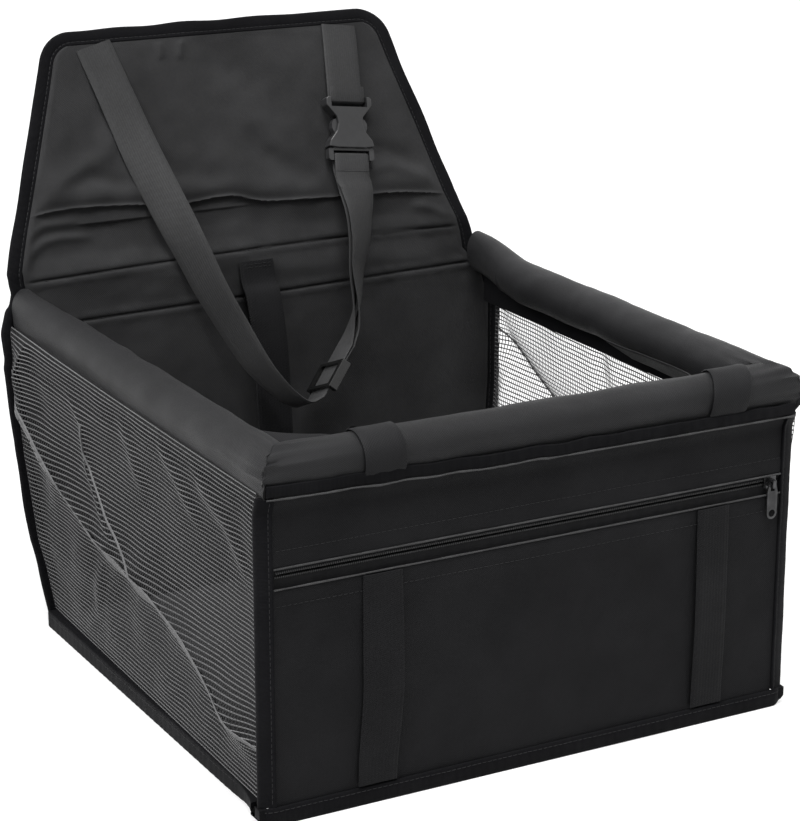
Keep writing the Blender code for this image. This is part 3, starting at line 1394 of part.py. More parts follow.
def build_hook(eye, hook_axis, gate_axis):
    """The eye on the webbing, the swivel hook under it and the gate across the hook's mouth."""
    corners = []
    edge = EYE_HALF_HEIGHT / 2
    for u, v, from_turn in (
        (EYE_HALF_WIDTH - edge, EYE_HALF_HEIGHT - edge, 0),
        (-EYE_HALF_WIDTH + edge, EYE_HALF_HEIGHT - edge, 90),
        (-EYE_HALF_WIDTH + edge, -EYE_HALF_HEIGHT + edge, 180),
        (EYE_HALF_WIDTH - edge, -EYE_HALF_HEIGHT + edge, 270),
    ):
        for turn in (from_turn, from_turn + 45, from_turn + 90):
            angle = math.radians(turn)
            corners.append(eye + Vector((u + edge * math.cos(angle), 0, v + edge * math.sin(angle))))
    ring = closed_loft("tether_eye", wire_rings(corners, True, EYE_WIRE, EYE_SIDES, AXIS_Y), metal)
    collar_top = eye - AXIS_Z * EYE_HALF_HEIGHT
    collar_foot = collar_top - AXIS_Z * COLLAR_HEIGHT
    ring_middle = collar_top + AXIS_Z * EYE_WIRE / 2
    join(ring, rod("collar", ring_middle, collar_foot, COLLAR_RADIUS, HOOK_STEPS, helper))
    chamber_foot = collar_foot + AXIS_Z * COLLAR_SILL
    chamber_top = collar_top + AXIS_Z * EYE_WIRE * 2
    cut(ring, rod("collar_chamber", chamber_foot, chamber_top, STEM_HEAD_RADIUS + GAP, HOOK_STEPS, helper))
    throat_foot = collar_foot - AXIS_Z * OVERRUN
    cut(ring, rod("collar_throat", throat_foot, chamber_top, STEM_RADIUS + GAP, HOOK_STEPS, helper))
    head_foot = chamber_foot + AXIS_Z * GAP
    head_top = head_foot + AXIS_Z * STEM_HEAD_HEIGHT
    head = rod("stem_head", head_foot, head_top, STEM_HEAD_RADIUS, HOOK_STEPS, helper, hook_axis)
    centre = collar_foot - AXIS_Z * (HOOK_SHANK + HOOK_HALF_HEIGHT)
    stem_foot = centre + AXIS_Z * (HOOK_HALF_HEIGHT + HOOK_WIRE / 2)
    stem_top = head_foot + AXIS_Z * STEM_HEAD_HEIGHT / 2
    path = []
    sweep = 2 * math.pi + HOOK_MOUTH_TO - HOOK_MOUTH_FROM
    for step in range(HOOK_STEPS + 1):
        turn = HOOK_MOUTH_FROM + sweep * step / HOOK_STEPS
        path.append(hook_spot(centre, turn))
    hook = loft("tether_hook", wire_rings(path, False, HOOK_WIRE, EYE_SIDES, AXIS_Y), metal, hook_axis)
    stem = rod("stem", stem_foot - AXIS_Z * HOOK_WIRE, stem_top, STEM_RADIUS, HOOK_STEPS, helper, hook_axis)
    shoulder_foot = stem_foot - AXIS_Z * HOOK_WIRE
    shoulder_top = collar_foot - AXIS_Z * (HOOK_SHANK / 3)
    neck = rod("shoulder", shoulder_foot, shoulder_top, SHOULDER_RADIUS, HOOK_STEPS, helper, hook_axis)
    for part in (stem, head, neck):
        join(hook, part)
    pivot = hook_spot(centre, HOOK_PIVOT_AT)
    for side in (-1, 1):
        inner = pivot + AXIS_Y * (side * HOOK_TONGUE_HALF)
        outer = inner + AXIS_Y * (side * OVERRUN)
        cut(hook, rod("cheek", inner, outer, HOOK_CHEEK_RADIUS, HOOK_STEPS, helper, hook_axis))
    reach = AXIS_Y * GATE_HALF_DEPTH
    pin = rod("gate_pin", pivot - reach, pivot + reach, GATE_PIN_RADIUS, PULL_ROUND_STEPS, helper, hook_axis)
    join(hook, pin)
    build_gate(path[-1] + AXIS_Z * GATE_FOOT_RISE, pivot, gate_axis)


def build_gate(foot, pivot, gate_axis):
    """A flat gate up from the hook's nose, with a forked head that turns on the hook's pin."""
    along = (pivot - foot).normalized()
    across = AXIS_Y.cross(along)
    frame = Matrix.Translation(pivot) @ Matrix((across, along, across.cross(along))).transposed().to_4x4()
    length = (pivot - foot).length
    outline = [(-GATE_HALF_WIDTH, -length), (GATE_HALF_WIDTH, -length), (GATE_HALF_WIDTH, -GATE_SLOT_REACH)]
    for step in range(PULL_ROUND_STEPS + 1):
        turn = math.pi * step / PULL_ROUND_STEPS
        outline.append((GATE_EAR_RADIUS * math.cos(turn), GATE_EAR_RADIUS * math.sin(turn)))
    outline.append((-GATE_HALF_WIDTH, -GATE_SLOT_REACH))
    gate = plate("hook_gate", frame, outline, -GATE_HALF_DEPTH, GATE_HALF_DEPTH, metal, gate_axis)
    half_slot = HOOK_TONGUE_HALF + PIN_PLAY
    slot = block(
        "gate_slot",
        (-OVERRUN, -GATE_SLOT_REACH, -half_slot),
        (OVERRUN, OVERRUN, half_slot),
        helper,
        gate_axis,
        frame,
    )
    cut(gate, slot)
    reach = AXIS_Y * OVERRUN
    radius = (GATE_PIN_RADIUS + PIN_PLAY) / math.cos(math.pi / PULL_ROUND_STEPS)
    cut(gate, rod("gate_bore", pivot - reach, pivot + reach, radius, PULL_ROUND_STEPS, helper, gate_axis))


def hook_spot(centre, turn):
    """A point on the hook's oval."""
    return centre + Vector((HOOK_HALF_WIDTH * math.cos(turn), 0, HOOK_HALF_HEIGHT * math.sin(turn)))


def hook_points():
    """Where the hook's axes pass: the eye's middle and the gate's pivot."""
    eye = BACK @ Vector((TETHER_X, EYE_Z, EYE_OUT))
    collar_foot = eye - AXIS_Z * (EYE_HALF_HEIGHT + COLLAR_HEIGHT)
    centre = collar_foot - AXIS_Z * (HOOK_SHANK + HOOK_HALF_HEIGHT)
    return eye, hook_spot(centre, HOOK_PIVOT_AT)


def build():
    outer, inner = build_zipper()
    build_floor()
    build_front_wall()
    build_front_sleeve()
    build_side_sleeve("left_sleeve", "left_tube", -1)
    build_side_sleeve("right_sleeve", "right_tube", 1)
    build_rim_strap("left_rim_strap", LEFT_WRAP_X, -1)
    build_rim_strap("right_rim_strap", RIGHT_WRAP_X, 1)
    build_side_mesh("left_mesh", -1)
    build_side_mesh("right_mesh", 1)
    build_hem("left_hem", -1)
    build_hem("right_hem", 1)
    build_box_bindings()
    build_back()

    flap_axis = axis_empty("flap_axis", Vector((0, HINGE_Y, HINGE_Z)))
    build_flap(flap_axis)
    seam = FLAP @ Vector((0, PIVOT_V, FLAP_FRONT + GAP + HALF_WEBBING))
    loop_axis = axis_empty("loop_axis", seam, flap_axis)
    frame = buckle_frame()
    build_short_strap(frame, loop_axis)
    build_socket(frame, loop_axis)
    plug_axis = axis_empty("plug_axis", frame @ Vector((0, 0, 0)), loop_axis)
    build_plug(frame, plug_axis)
    build_long_strap(frame, plug_axis)
    adjuster_axis = axis_empty("adjuster_axis", adjuster_frame() @ Vector((0, 0, 0)), plug_axis)
    adjuster = build_adjuster(adjuster_axis)
    build_return_strap(frame, plug_axis, adjuster)

    face = outer - COIL_DEPTH - GAP - SLIDER_PLATE
    slider_axis = axis_empty("slider_axis", Vector((SLIDER_X, face, ZIPPER_HEIGHT)))
    bail_middle = Vector((SLIDER_X, face - BAIL_REACH / 2, ZIPPER_HEIGHT))
    pull_axis = axis_empty("pull_axis", bail_middle, slider_axis)
    build_slider(outer, inner, slider_axis, pull_axis)

    eye = build_tether()
    _, gate_pivot = hook_points()
    hook_axis = axis_empty("hook_axis", eye)
    gate_axis = axis_empty("gate_axis", gate_pivot, hook_axis)
    build_hook(eye, hook_axis, gate_axis)


clear_scene()
helper = finish("helper", (0.5, 0.5, 0.5), 0.5)
cloth = finish("oxford_cloth", (0.012, 0.012, 0.013), 0.78)
rim_cloth = finish("rim_cloth", (0.016, 0.016, 0.017), 0.76)
mesh_cloth = finish("mesh_cloth", (0.020, 0.020, 0.021), 0.7)
binding_tape = finish("binding_tape", (0.009, 0.009, 0.010), 0.8)
webbing = finish("webbing", (0.017, 0.017, 0.018), 0.7)
strap_webbing = finish("strap_webbing", (0.040, 0.040, 0.042), 0.6)
zipper_cloth = finish("zipper_cloth", (0.010, 0.010, 0.011), 0.7)
buckle_plastic = finish("buckle_plastic", (0.030, 0.030, 0.031), 0.45)
gloss_plastic = finish("gloss_plastic", (0.008, 0.008, 0.008), 0.2)
plastic_pipe = finish("plastic_pipe", (0.72, 0.73, 0.74), 0.4)
board = finish("stiff_board", (0.05, 0.05, 0.05), 0.6)
metal = finish("black_metal", (0.03, 0.03, 0.03), 0.3, 0.8)
build()
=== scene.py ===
"""Looks of the dog car seat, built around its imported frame.

Each sub-assembly is a class that holds its sizes and builds its own pieces; main() builds them in order.
Lengths are metres in the frame's own axes: +Z up, the front wall faces -Y, the back flap leans to +Y.
"""

import logging
import math
from dataclasses import dataclass, field
from enum import Enum, IntEnum
from typing import Iterable, Optional, Sequence

import bmesh
import bpy
import numpy as np
from mathutils import Matrix, Vector


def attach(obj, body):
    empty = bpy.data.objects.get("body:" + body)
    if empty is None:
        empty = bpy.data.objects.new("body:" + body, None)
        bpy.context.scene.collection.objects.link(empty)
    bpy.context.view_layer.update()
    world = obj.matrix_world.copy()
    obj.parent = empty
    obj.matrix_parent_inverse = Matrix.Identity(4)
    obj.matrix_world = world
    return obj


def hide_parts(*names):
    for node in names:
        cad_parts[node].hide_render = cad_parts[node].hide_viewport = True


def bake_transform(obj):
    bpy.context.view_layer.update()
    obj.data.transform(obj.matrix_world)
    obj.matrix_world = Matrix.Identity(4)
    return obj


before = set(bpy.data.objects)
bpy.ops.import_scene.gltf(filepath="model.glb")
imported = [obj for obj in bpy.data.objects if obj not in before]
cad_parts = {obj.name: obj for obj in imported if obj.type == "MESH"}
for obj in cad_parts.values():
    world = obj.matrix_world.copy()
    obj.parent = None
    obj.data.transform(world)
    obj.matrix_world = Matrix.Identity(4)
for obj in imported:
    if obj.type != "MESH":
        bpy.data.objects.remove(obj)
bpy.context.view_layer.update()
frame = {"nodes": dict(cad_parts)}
LOG = logging.getLogger("dog_car_seat")

Array = np.ndarray
Material = bpy.types.Material
Socket = bpy.types.NodeSocket
Triple = tuple[float, float, float]
Points = Sequence[tuple[float, float]]

# Clearances, how finely cloth is meshed, and how stitches draw a binding in
GAP = 0.0003
CLOTH_STEP = 0.003
HARD_EDGE = math.radians(60)
PUFF_FRAMES = 18
STITCH_PITCH = 0.0085
STITCH_PUCKER = 0.00012
BINDING_STEP = 0.0022
FORWARD = (0.0, -1.0, 0.0)

# The box
SEAT_WIDTH = 0.400
SEAT_DEPTH = 0.400
RIM_HEIGHT = 0.254
BACK_FOOT_Y = 0.194
HINGE_Y = 0.224
HINGE_Z = 0.274
FLAP_LEAN = math.radians(22)
BACK_LEAN = math.atan2(HINGE_Y - BACK_FOOT_Y, HINGE_Z)
BACK_LENGTH = math.hypot(HINGE_Y - BACK_FOOT_Y, HINGE_Z)
SIDE_X = SEAT_WIDTH / 2
FRONT_Y = -SEAT_DEPTH / 2
COVER_HALF = 0.0035
WEBBING_HALF = 0.0007
STRAP_WIDTH = 0.030
BINDING_WIDTH = 0.012
BINDING_HALF = 0.002
UNDERLAP = 0.0006

# The rim's sleeves
SLEEVE_RADIUS = 0.0165
SLEEVE_TAIL = 0.004
TAIL_FROM = math.radians(-35)
TAIL_TO = math.radians(-70)
RIM_Z = RIM_HEIGHT - SLEEVE_RADIUS
TAIL_OUT = SLEEVE_RADIUS * math.cos((TAIL_FROM + TAIL_TO) / 2)
SIDE_RIM_X = SIDE_X - TAIL_OUT + 0.001
FRONT_RIM_Y = FRONT_Y + TAIL_OUT + 0.001
WALL_TOP = RIM_Z - SLEEVE_RADIUS - SLEEVE_TAIL - GAP

# The front wall
PANEL_FACE_Y = FRONT_Y + GAP
PANEL_HALF = SIDE_X - 0.0058
PANEL_FOOT = 0.0022
POCKET_TOP = 0.161
HEADER_FOOT = 0.1775
ZIPPER_Z = 0.171
BASE_BINDING_HEIGHT = 0.013

# Half width of the back's bindings up the panel, and the flap's outline
BACK_OUTLINE = ((0.002, 0.1975), (0.050, 0.2000), (0.139, 0.2110), (0.205, 0.2150))
BACK_OUTLINE += ((0.232, 0.2090), (0.252, 0.1985), (0.266, 0.2010), (0.276, 0.2015))
FLAP_HEIGHT = 0.181
FLAP_BOTTOM_HALF = 0.2015
FLAP_TOP_HALF = 0.146
FLAP_CORNER = 0.030

# How far the cloth hangs to the left of its even outline, by distance up from the hinge
LEFT_SHIFT = ((-0.2756, -0.0030), (-0.2060, -0.0094), (-0.1260, -0.0062), (-0.0640, -0.0064), (-0.0270, -0.0155))
LEFT_SHIFT += ((-0.0150, -0.0105), (0.0020, -0.0112), (0.0250, -0.0106), (0.0800, -0.0077))
LEFT_SHIFT += ((0.1360, -0.0050), (0.1750, -0.0042))
RIGHT_SHIFT = ((-0.0400, 0.0), (0.0, -0.0130), (0.0245, -0.0138), (0.0800, -0.0105))
RIGHT_SHIFT += ((0.1360, -0.0087), (0.1750, -0.0060))

# How far the front wall's seam rises above its even line from left to right, and its left corner is drawn out
SEAM_RISE = ((-0.200, 0.0085), (-0.100, 0.0060), (0.0, 0.0040), (0.200, 0.0030))
CORNER_OUT = 0.0045

# The long folds of the openwork sides, by depth and height
LEFT_CREASE = ((-0.195, 0.048), (-0.141, 0.0695), (-0.046, 0.1025), (0.065, 0.118))
LEFT_CREASE += ((0.146, 0.1500), (0.205, 0.180), (0.215, 0.200))
LEFT_BRANCH = ((0.119, 0.2165), (0.083, 0.1935), (0.080, 0.162), (0.057, 0.138), (0.034, 0.123), (0.0, 0.114))
YARN_BRANCH = ((0.083, 0.1935), (0.080, 0.170), (0.060, 0.146), (0.034, 0.128), (0.004, 0.112), (-0.045, 0.097))
RIGHT_CREASE = ((-0.195, 0.060), (-0.120, 0.085), (-0.020, 0.108), (0.080, 0.128), (0.215, 0.180))


class Body(str, Enum):
    """The frame's bodies that pieces ride on."""

    BOX = "box"
    FLAP = "flap"
    LOOP = "loop"
    PLUG = "plug"
    ADJUSTER = "adjuster"


class Slot(str, Enum):
    """The record's material slots that pieces fill."""

    CLOTH = "cloth"
    RIM_CLOTH = "rim_cloth"
    MESH = "mesh"
    BINDING = "binding"
    WEBBING = "webbing"
    STRAP = "strap_webbing"
    ZIPPER_TAPE = "zipper_tape"


class Held(str, Enum):
    """How a sheet is held."""

    STRETCHED = "stretched"
    HUNG = "hung"


class Weave(Enum):
    """How a textile's yarns lie."""

    PLAIN = "plain"
    WEBBING = "webbing"
    RIBBED = "ribbed"


class Way(IntEnum):
    """One of two opposite ways from a middle."""

    @property
    def word(self) -> str:
        """Its name in pieces and nodes."""
        return self.name.lower()


class Side(Way):
    """The seat's sides, as the way they lie along x."""

    LEFT = -1
    RIGHT = 1


class Half(Way):
    """The zipper's halves, as the way they lie along z."""

    UPPER = 1
    LOWER = -1


# ---------------------------------------------------------------- finishes


class NodeKit:
    """Short calls for building one material's nodes."""

    def __init__(self, name: str) -> None:
        """Start a material that has a Principled shader.

        Args:
            name: The material's name.
        """
        self.material = bpy.data.materials.new(name)
        self.material.use_nodes = True
        self.tree = self.material.node_tree
        self.shader = self.tree.nodes["Principled BSDF"]

    def put(self, socket: Socket, value: object) -> None:
        """Link a socket to another, or set its value.

        Args:
            socket: The socket to fill.
            value: Another socket, or a plain value.
        """
        if isinstance(value, Socket):
            self.tree.links.new(value, socket)
        else:
            socket.default_value = value

    def fill(self, node: bpy.types.Node, inputs: dict[str, object]) -> bpy.types.Node:
        """Set or link a node's inputs by their names, with spaces as underscores.

        Args:
            node: The node.
            inputs: Values or sockets by input name.

        Returns:
            The node.
        """
        for key, value in inputs.items():
            self.put(node.inputs[key.replace("_", " ")], value)
        return node

    def node(self, kind: str, **inputs: object) -> bpy.types.Node:
        """Add a node of a kind, and fill its inputs."""
        return self.fill(self.tree.nodes.new(kind), inputs)

    def surface(self, **inputs: object) -> None:
        """Fill the shader's own inputs."""
        self.fill(self.shader, inputs)

    def math(self, operation: str, *values: object) -> Socket:
        """A Math node over sockets or numbers.

        Args:
            operation: The Math node's operation.
            values: Its inputs in order.

        Returns:
            The result's socket.
        """
        made = self.tree.nodes.new("ShaderNodeMath")
        made.operation = operation
        for socket, value in zip(made.inputs, values):
            self.put(socket, value)
        return made.outputs[0]

    def wave(self, coordinate: Socket, pitch: float) -> Socket:
        """A sine of a coordinate, with a pitch in metres, from -1 to 1."""
        return self.math("SINE", self.math("MULTIPLY", coordinate, math.tau / pitch))

    def metres(self) -> tuple[Socket, Socket]:
        """The piece's own cloth coordinates, across and along, in metres.

        Returns:
            The two coordinates' sockets.
        """
        places = self.node("ShaderNodeUVMap")
        places.uv_map = "metres"
        split = self.node("ShaderNodeSeparateXYZ", Vector=places.outputs["UV"])
        return split.outputs["X"], split.outputs["Y"]

    def noise(self, size: float, detail: float) -> Socket:
        """Noise from 0 to 1 over the object's own space, by its feature size in metres and its octaves."""
        places = self.node("ShaderNodeTexCoord").outputs["Object"]
        return self.node("ShaderNodeTexNoise", Vector=places, Scale=1 / size, Detail=detail).outputs["Fac"]

    def ramp(self, value: Socket, low: float, high: float, first: float, second: float) -> Socket:
        """Map a socket from one range to another, clamped.

        Args:
            value: The socket to map.
            low: Where the input range starts.
            high: Where it ends.
            first: What its start maps to.
            second: What its end maps to.

        Returns:
            The mapped socket.
        """
        made = self.tree.nodes.new("ShaderNodeMapRange")
        for socket, part in zip(made.inputs, (value, low, high, first, second)):
            self.put(socket, part)
        return made.outputs[0]

    def tint(self, colour: Triple, factor: Socket) -> Socket:
        """A colour made lighter or darker by a factor.

        Args:
            colour: The plain colour.
            factor: What it is multiplied by.

        Returns:
            The colour's socket.
        """
        made = self.tree.nodes.new("ShaderNodeVectorMath")
        made.operation = "SCALE"
        self.put(made.inputs[0], colour)
        self.put(made.inputs["Scale"], factor)
        return made.outputs[0]

    def bump(self, height: Socket, depth: float, under: Optional[Socket] = None) -> Socket:
        """A bump from a height.

        Args:
            height: The height's socket.
            depth: How deep a full step of it is, in metres.
            under: A normal that it adds to.

        Returns:
            The normal's socket.
        """
        made = self.node("ShaderNodeBump", Height=height, Distance=depth, Strength=1.0)
        if under is not None:
            self.put(made.inputs["Normal"], under)
        return made.outputs["Normal"]


@dataclass(frozen=True)
class TextileFinish:
    """A woven or knitted surface: its colour, weave, sheen and wear."""

    name: str
    colour: Triple
    weave: Weave = Weave.PLAIN
    pitch: float = 0.0007
    depth: float = 0.00012
    roughness: float = 0.62
    sheen: float = 0.04
    gloss: float = 0.12
    mottle: float = 0.22
    cloud: float = 0.045

    def yarns(self, kit: NodeKit) -> Socket:
        """The weave's height, from about -1 to 1.

        Args:
            kit: The material being built.

        Returns:
            The height's socket.
        """
        across, along = kit.metres()
        if self.weave is Weave.PLAIN:
            return kit.math("MULTIPLY", kit.wave(across, self.pitch * 2), kit.wave(along, self.pitch * 2))
        if self.weave is Weave.RIBBED:
            return kit.wave(along, self.pitch)
        slant = kit.math("MULTIPLY_ADD", kit.math("ABSOLUTE", across), 0.55, along)
        columns = kit.math("MULTIPLY", kit.wave(across, self.pitch * 1.9), 0.35)
        return kit.math("MULTIPLY_ADD", kit.wave(slant, self.pitch), 0.65, columns)

    def build(self) -> Material:
        """Build the material.

        Returns:
            The material.
        """
        kit = NodeKit(self.name)
        yarns = self.yarns(kit)
        fuzz = kit.noise(0.0016, 4.0)
        cloud = kit.noise(self.cloud, 4.0)
        shade = kit.ramp(cloud, 0.3, 0.7, 1 - self.mottle, 1 + self.mottle)
        fleck = kit.ramp(fuzz, 0.25, 0.75, 0.88, 1.12)
        # The colour follows the weave's height: the yarns' own pattern, with painted shade in the dips between them.
        woven = kit.ramp(yarns, -1.0, 1.0, 0.82, 1.1)
        factor = kit.math("MULTIPLY", kit.math("MULTIPLY", shade, fleck), woven)
        kit.surface(
            Base_Color=kit.tint(self.colour, factor),
            Roughness=kit.ramp(cloud, 0.3, 0.7, self.roughness + 0.06, self.roughness - 0.06),
            Normal=kit.bump(yarns, self.depth, kit.bump(fuzz, self.depth * 0.8)),
            Specular_IOR_Level=self.gloss,
            Sheen_Weight=self.sheen,
            Sheen_Roughness=0.45,
        )
        return kit.material


@dataclass(frozen=True)
class YarnFinish:
    """Bare yarn, as in the openwork sides and the stitching."""

    name: str
    colour: Triple
    roughness: float = 0.4
    twist: float = 0.0012

    def build(self) -> Material:
        """Build the material.

        Returns:
            The material.
        """
        kit = NodeKit(self.name)
        strand = kit.noise(self.twist, 2.0)
        cloud = kit.noise(0.03, 2.0)
        factor = kit.math("MULTIPLY", kit.ramp(strand, 0.3, 0.7, 0.8, 1.2), kit.ramp(cloud, 0.3, 0.7, 0.9, 1.1))
        kit.surface(
            Base_Color=kit.tint(self.colour, factor),
            Roughness=kit.ramp(strand, 0.3, 0.7, self.roughness + 0.08, self.roughness - 0.05),
            Normal=kit.bump(strand, 0.00008),
        )
        return kit.material


@dataclass(frozen=True)
class MouldedFinish:
    """Moulded plastic, painted metal or board: grain, a painted highlight in patches on convex edges, and fine
    scratches.
    """

    name: str
    colour: Triple
    roughness: float = 0.4
    metallic: float = 0.0
    grain: float = 0.0006
    depth: float = 0.00002
    # How far convex edges are lightened: a painted highlight.
    edge_lightening: float = 0.5

    def build(self) -> Material:
        """Build the material.

        Returns:
            The material.
        """
        kit = NodeKit(self.name)
        grain = kit.noise(self.grain, 3.0)
        # Random tone and roughness; the same noise breaks the painted edge highlight into patches.
        wear = kit.noise(0.006, 5.0)
        edge = kit.node("ShaderNodeNewGeometry").outputs["Pointiness"]
        # Convex edges, found by pointiness, are lightened: a painted highlight along them.
        painted_edge_highlight = kit.math("MULTIPLY", kit.ramp(edge, 0.52, 0.60, 0.0, self.edge_lightening), kit.ramp(wear, 0.4, 0.6, 0.3, 1.0))
        factor = kit.math("ADD", kit.ramp(wear, 0.3, 0.7, 0.88, 1.12), painted_edge_highlight)
        kit.surface(
            Base_Color=kit.tint(self.colour, factor),
            Roughness=kit.ramp(wear, 0.3, 0.7, self.roughness + 0.05, self.roughness - 0.04),
            Metallic=self.metallic,
            Normal=kit.bump(grain, self.depth),
        )
        return kit.material


def grey(level: float, blue: float = 0.001) -> Triple:
    """A grey that is a little blue."""
    return level, level, level + blue


class Palette:
    """Every finish of the seat, built once."""

    def __init__(self) -> None:
        """Build the materials."""
        woven, ribbed = {"weave": Weave.WEBBING}, {"weave": Weave.RIBBED, "depth": 0.0001}
        ribs = {**ribbed, "pitch": 0.0009, "roughness": 0.6, "sheen": 0.02, "gloss": 0.05}
        self.cloth = TextileFinish("coated_oxford", grey(0.030), gloss=0.13).build()
        self.rim = TextileFinish("rim_oxford", grey(0.011), roughness=0.46, gloss=0.19).build()
        # A darker copy of the same oxford for the front wall's panels: painted shade on that wall.
        self.pocket = TextileFinish("pocket_oxford_painted_shade", grey(0.010), gloss=0.09, mottle=0.14).build()
        # A lighter copy of the oxford for the turned edges: a painted highlight along them.
        self.edge = TextileFinish(
            "turned_edge_painted_highlight", grey(0.050), roughness=0.45, gloss=0.3, mottle=0.3, cloud=0.012
        ).build()
        self.band = TextileFinish(
            "band_webbing", grey(0.012), **woven, pitch=0.0013, depth=0.0002, gloss=0.09, mottle=0.1
        ).build()
        self.strap = TextileFinish(
            "strap_webbing", grey(0.050), **woven, pitch=0.0010, depth=0.0001, roughness=0.5, mottle=0.1
        ).build()
        self.wrap = TextileFinish(
            "wrap_webbing", grey(0.011), pitch=0.0010, depth=0.0001, gloss=0.15, mottle=0.1
        ).build()
        self.binding = TextileFinish("ribbed_binding", grey(0.006), **ribs).build()
        self.tape = TextileFinish("zipper_tape", grey(0.012), **ribbed, mottle=0.08).build()
        # Two copies of the one black yarn of the sides: the ribs' light one is a painted highlight, the links' dark one
        # painted shade.
        self.yarn = YarnFinish("openwork_yarn_painted_highlight", grey(0.125, 0.002)).build()
        self.ground = YarnFinish("openwork_links_painted_shade", grey(0.008), roughness=0.6).build()
        # A light yarn along the walls' sharpest folds: a painted highlight.
        self.crease = YarnFinish("crease_painted_highlight", grey(0.105, 0.002), roughness=0.5, twist=0.003).build()
        # A grey flat band below the left wall's long fold: a painted highlight that widens the fold's bright line.
        self.pressed = YarnFinish("fold_band_painted_highlight", grey(0.052, 0.002), roughness=0.45, twist=0.0016).build()
        self.thread = YarnFinish("sewing_thread", grey(0.007), roughness=0.7, twist=0.0006).build()
        self.coil = YarnFinish("zipper_coil", grey(0.045), roughness=0.3, twist=0.002).build()
        # Each moulded finish lightens its convex edges by its own amount, a painted highlight, strongest on the black
        # metal.
        self.buckle = MouldedFinish("buckle_acetal", grey(0.022), roughness=0.36).build()
        self.gloss = MouldedFinish("adjuster_gloss", grey(0.008, 0.0), roughness=0.16, edge_lightening=0.3).build()
        self.pipe = MouldedFinish("plastic_pipe", grey(0.012), roughness=0.5, edge_lightening=0.05).build()
        self.board = MouldedFinish("stiff_board", (0.10, 0.09, 0.08), roughness=0.7, depth=0.0001, edge_lightening=0.1).build()
        self.metal = MouldedFinish("black_metal", grey(0.035), roughness=0.24, metallic=0.75, edge_lightening=1.2).build()


# ---------------------------------------------------------------- shapes


def leaning_frame(foot: Triple, lean: float) -> Array:
    """The frame of a panel that leans back from its foot.

    Args:
        foot: The middle of its lower edge.
        lean: Its angle back from upright.

    Returns:
        A 3 by 4 matrix whose columns are across, up, out of its front, and the foot.
    """
    across = (1.0, 0.0, 0.0)
    up = (0.0, math.sin(lean), math.cos(lean))
    out = (0.0, -math.cos(lean), math.sin(lean))
    return np.array((across, up, out, foot)).T


BACK = leaning_frame((0, BACK_FOOT_Y, 0), BACK_LEAN)
FLAP = leaning_frame((0, HINGE_Y, HINGE_Z), FLAP_LEAN)


def place(panel: Array, local: Array) -> Array:
    """Points of a leaning panel, from (across, up, out) to the world."""
    return turn_into(panel, local) + panel[:, 3]


def turn_into(panel: Array, ways: Array) -> Array:
    """Directions of a panel's frame, in the world."""
    return np.asarray(ways, float) @ panel[:, :3].T


def ease(share: Array) -> Array:
    """A smooth step from 0 to 1."""
    share = np.clip(share, 0.0, 1.0)
    return share * share * (3 - 2 * share)


def over_hinge(across: Array, along: Array, out: Array) -> Array:
    """Points on the back and the flap as one cloth.

    Args:
        across: Distance to the right.
        along: Distance up from the hinge, negative below it.
        out: Distance out of the front.

    Returns:
        World points, turning smoothly at the hinge.
    """
    across, along, out = np.broadcast_arrays(across, along, out)
    low = place(BACK, np.stack([across, along + BACK_LENGTH, out], -1))
    high = place(FLAP, np.stack([across, along, out], -1))
    share = ease((along + 0.010) / 0.020)[..., None]
    return low * (1 - share) + high * share


def spread_left(x: Array) -> Array:
    """The front wall's places from left to right, with its left corner drawn out."""
    return x - CORNER_OUT * ease((-x - 0.150) / 0.045)


def raised_seam(x: Array, z: Array) -> tuple[Array, Array]:
    """Lift the front wall's top seam, and bring it forward over the sleeve's tail.

    Args:
        x: Places from left to right.
        z: Heights in the even wall.

    Returns:
        The lifted heights, and how far forward each comes.
    """
    share = ease((z - HEADER_FOOT - 0.012) / (WALL_TOP - HEADER_FOOT - 0.012))
    lifted = z + np.interp(x, *zip(*SEAM_RISE)) * share
    return lifted, 0.0034 * ease((z - WALL_TOP + 0.010) / 0.009)


def back_front_y(z: Array, out: float) -> Array:
    """Where a height meets the plane a given distance out of the back."""
    return BACK_FOOT_Y + z * math.tan(BACK_LEAN) - out / math.cos(BACK_LEAN)


def rumple(points: Array, size: float, seed: int) -> Array:
    """Smooth, repeatable unevenness of cloth.

    Args:
        points: World or local points.
        size: The size of its rises and dips.
        seed: Which pattern.

    Returns:
        Heights from about -1 to 1.
    """
    draws = np.random.default_rng(seed)
    total = np.zeros(points.shape[:-1])
    waves = 8
    for _ in range(waves):
        way = draws.normal(size=points.shape[-1])
        way *= math.tau / size * draws.uniform(0.6, 1.4) / np.linalg.norm(way)
        total = total + np.sin(points @ way + draws.uniform(0, math.tau))
    return total / (waves / 2)


def rumple_along(along: Array, size: float, seed: int) -> Array:
    """The same unevenness along a line, by distances along it."""
    return rumple(np.stack([along, along], -1), size, seed)


def spline(knots: Sequence[Sequence[float]], steps: int) -> Array:
    """A Catmull-Rom curve.

    Args:
        knots: Its points, of any size.
        steps: Points per span.

    Returns:
        The curve's points.
    """
    points = np.asarray(knots, float)
    ends = np.vstack([points[:1] * 2 - points[1:2], points, points[-1:] * 2 - points[-2:-1]])
    t = (np.arange(steps) / steps)[:, None]
    path = []
    for a, b, c, d in zip(ends, ends[1:], ends[2:], ends[3:]):
        path.append((b * 2 + (c - a) * t + (a * 2 - b * 5 + c * 4 - d) * t**2 + (b * 3 - a - c * 3 + d) * t**3) / 2)
    path.append(points[-1:])
    return np.vstack(path)


def units(vectors: Array) -> Array:
    """Vectors scaled to length one."""
    return vectors / np.maximum(np.linalg.norm(vectors, axis=-1, keepdims=True), 1e-12)


def tangents(path: Array) -> Array:
    """Directions along a path."""
    return units(np.gradient(path, axis=0))


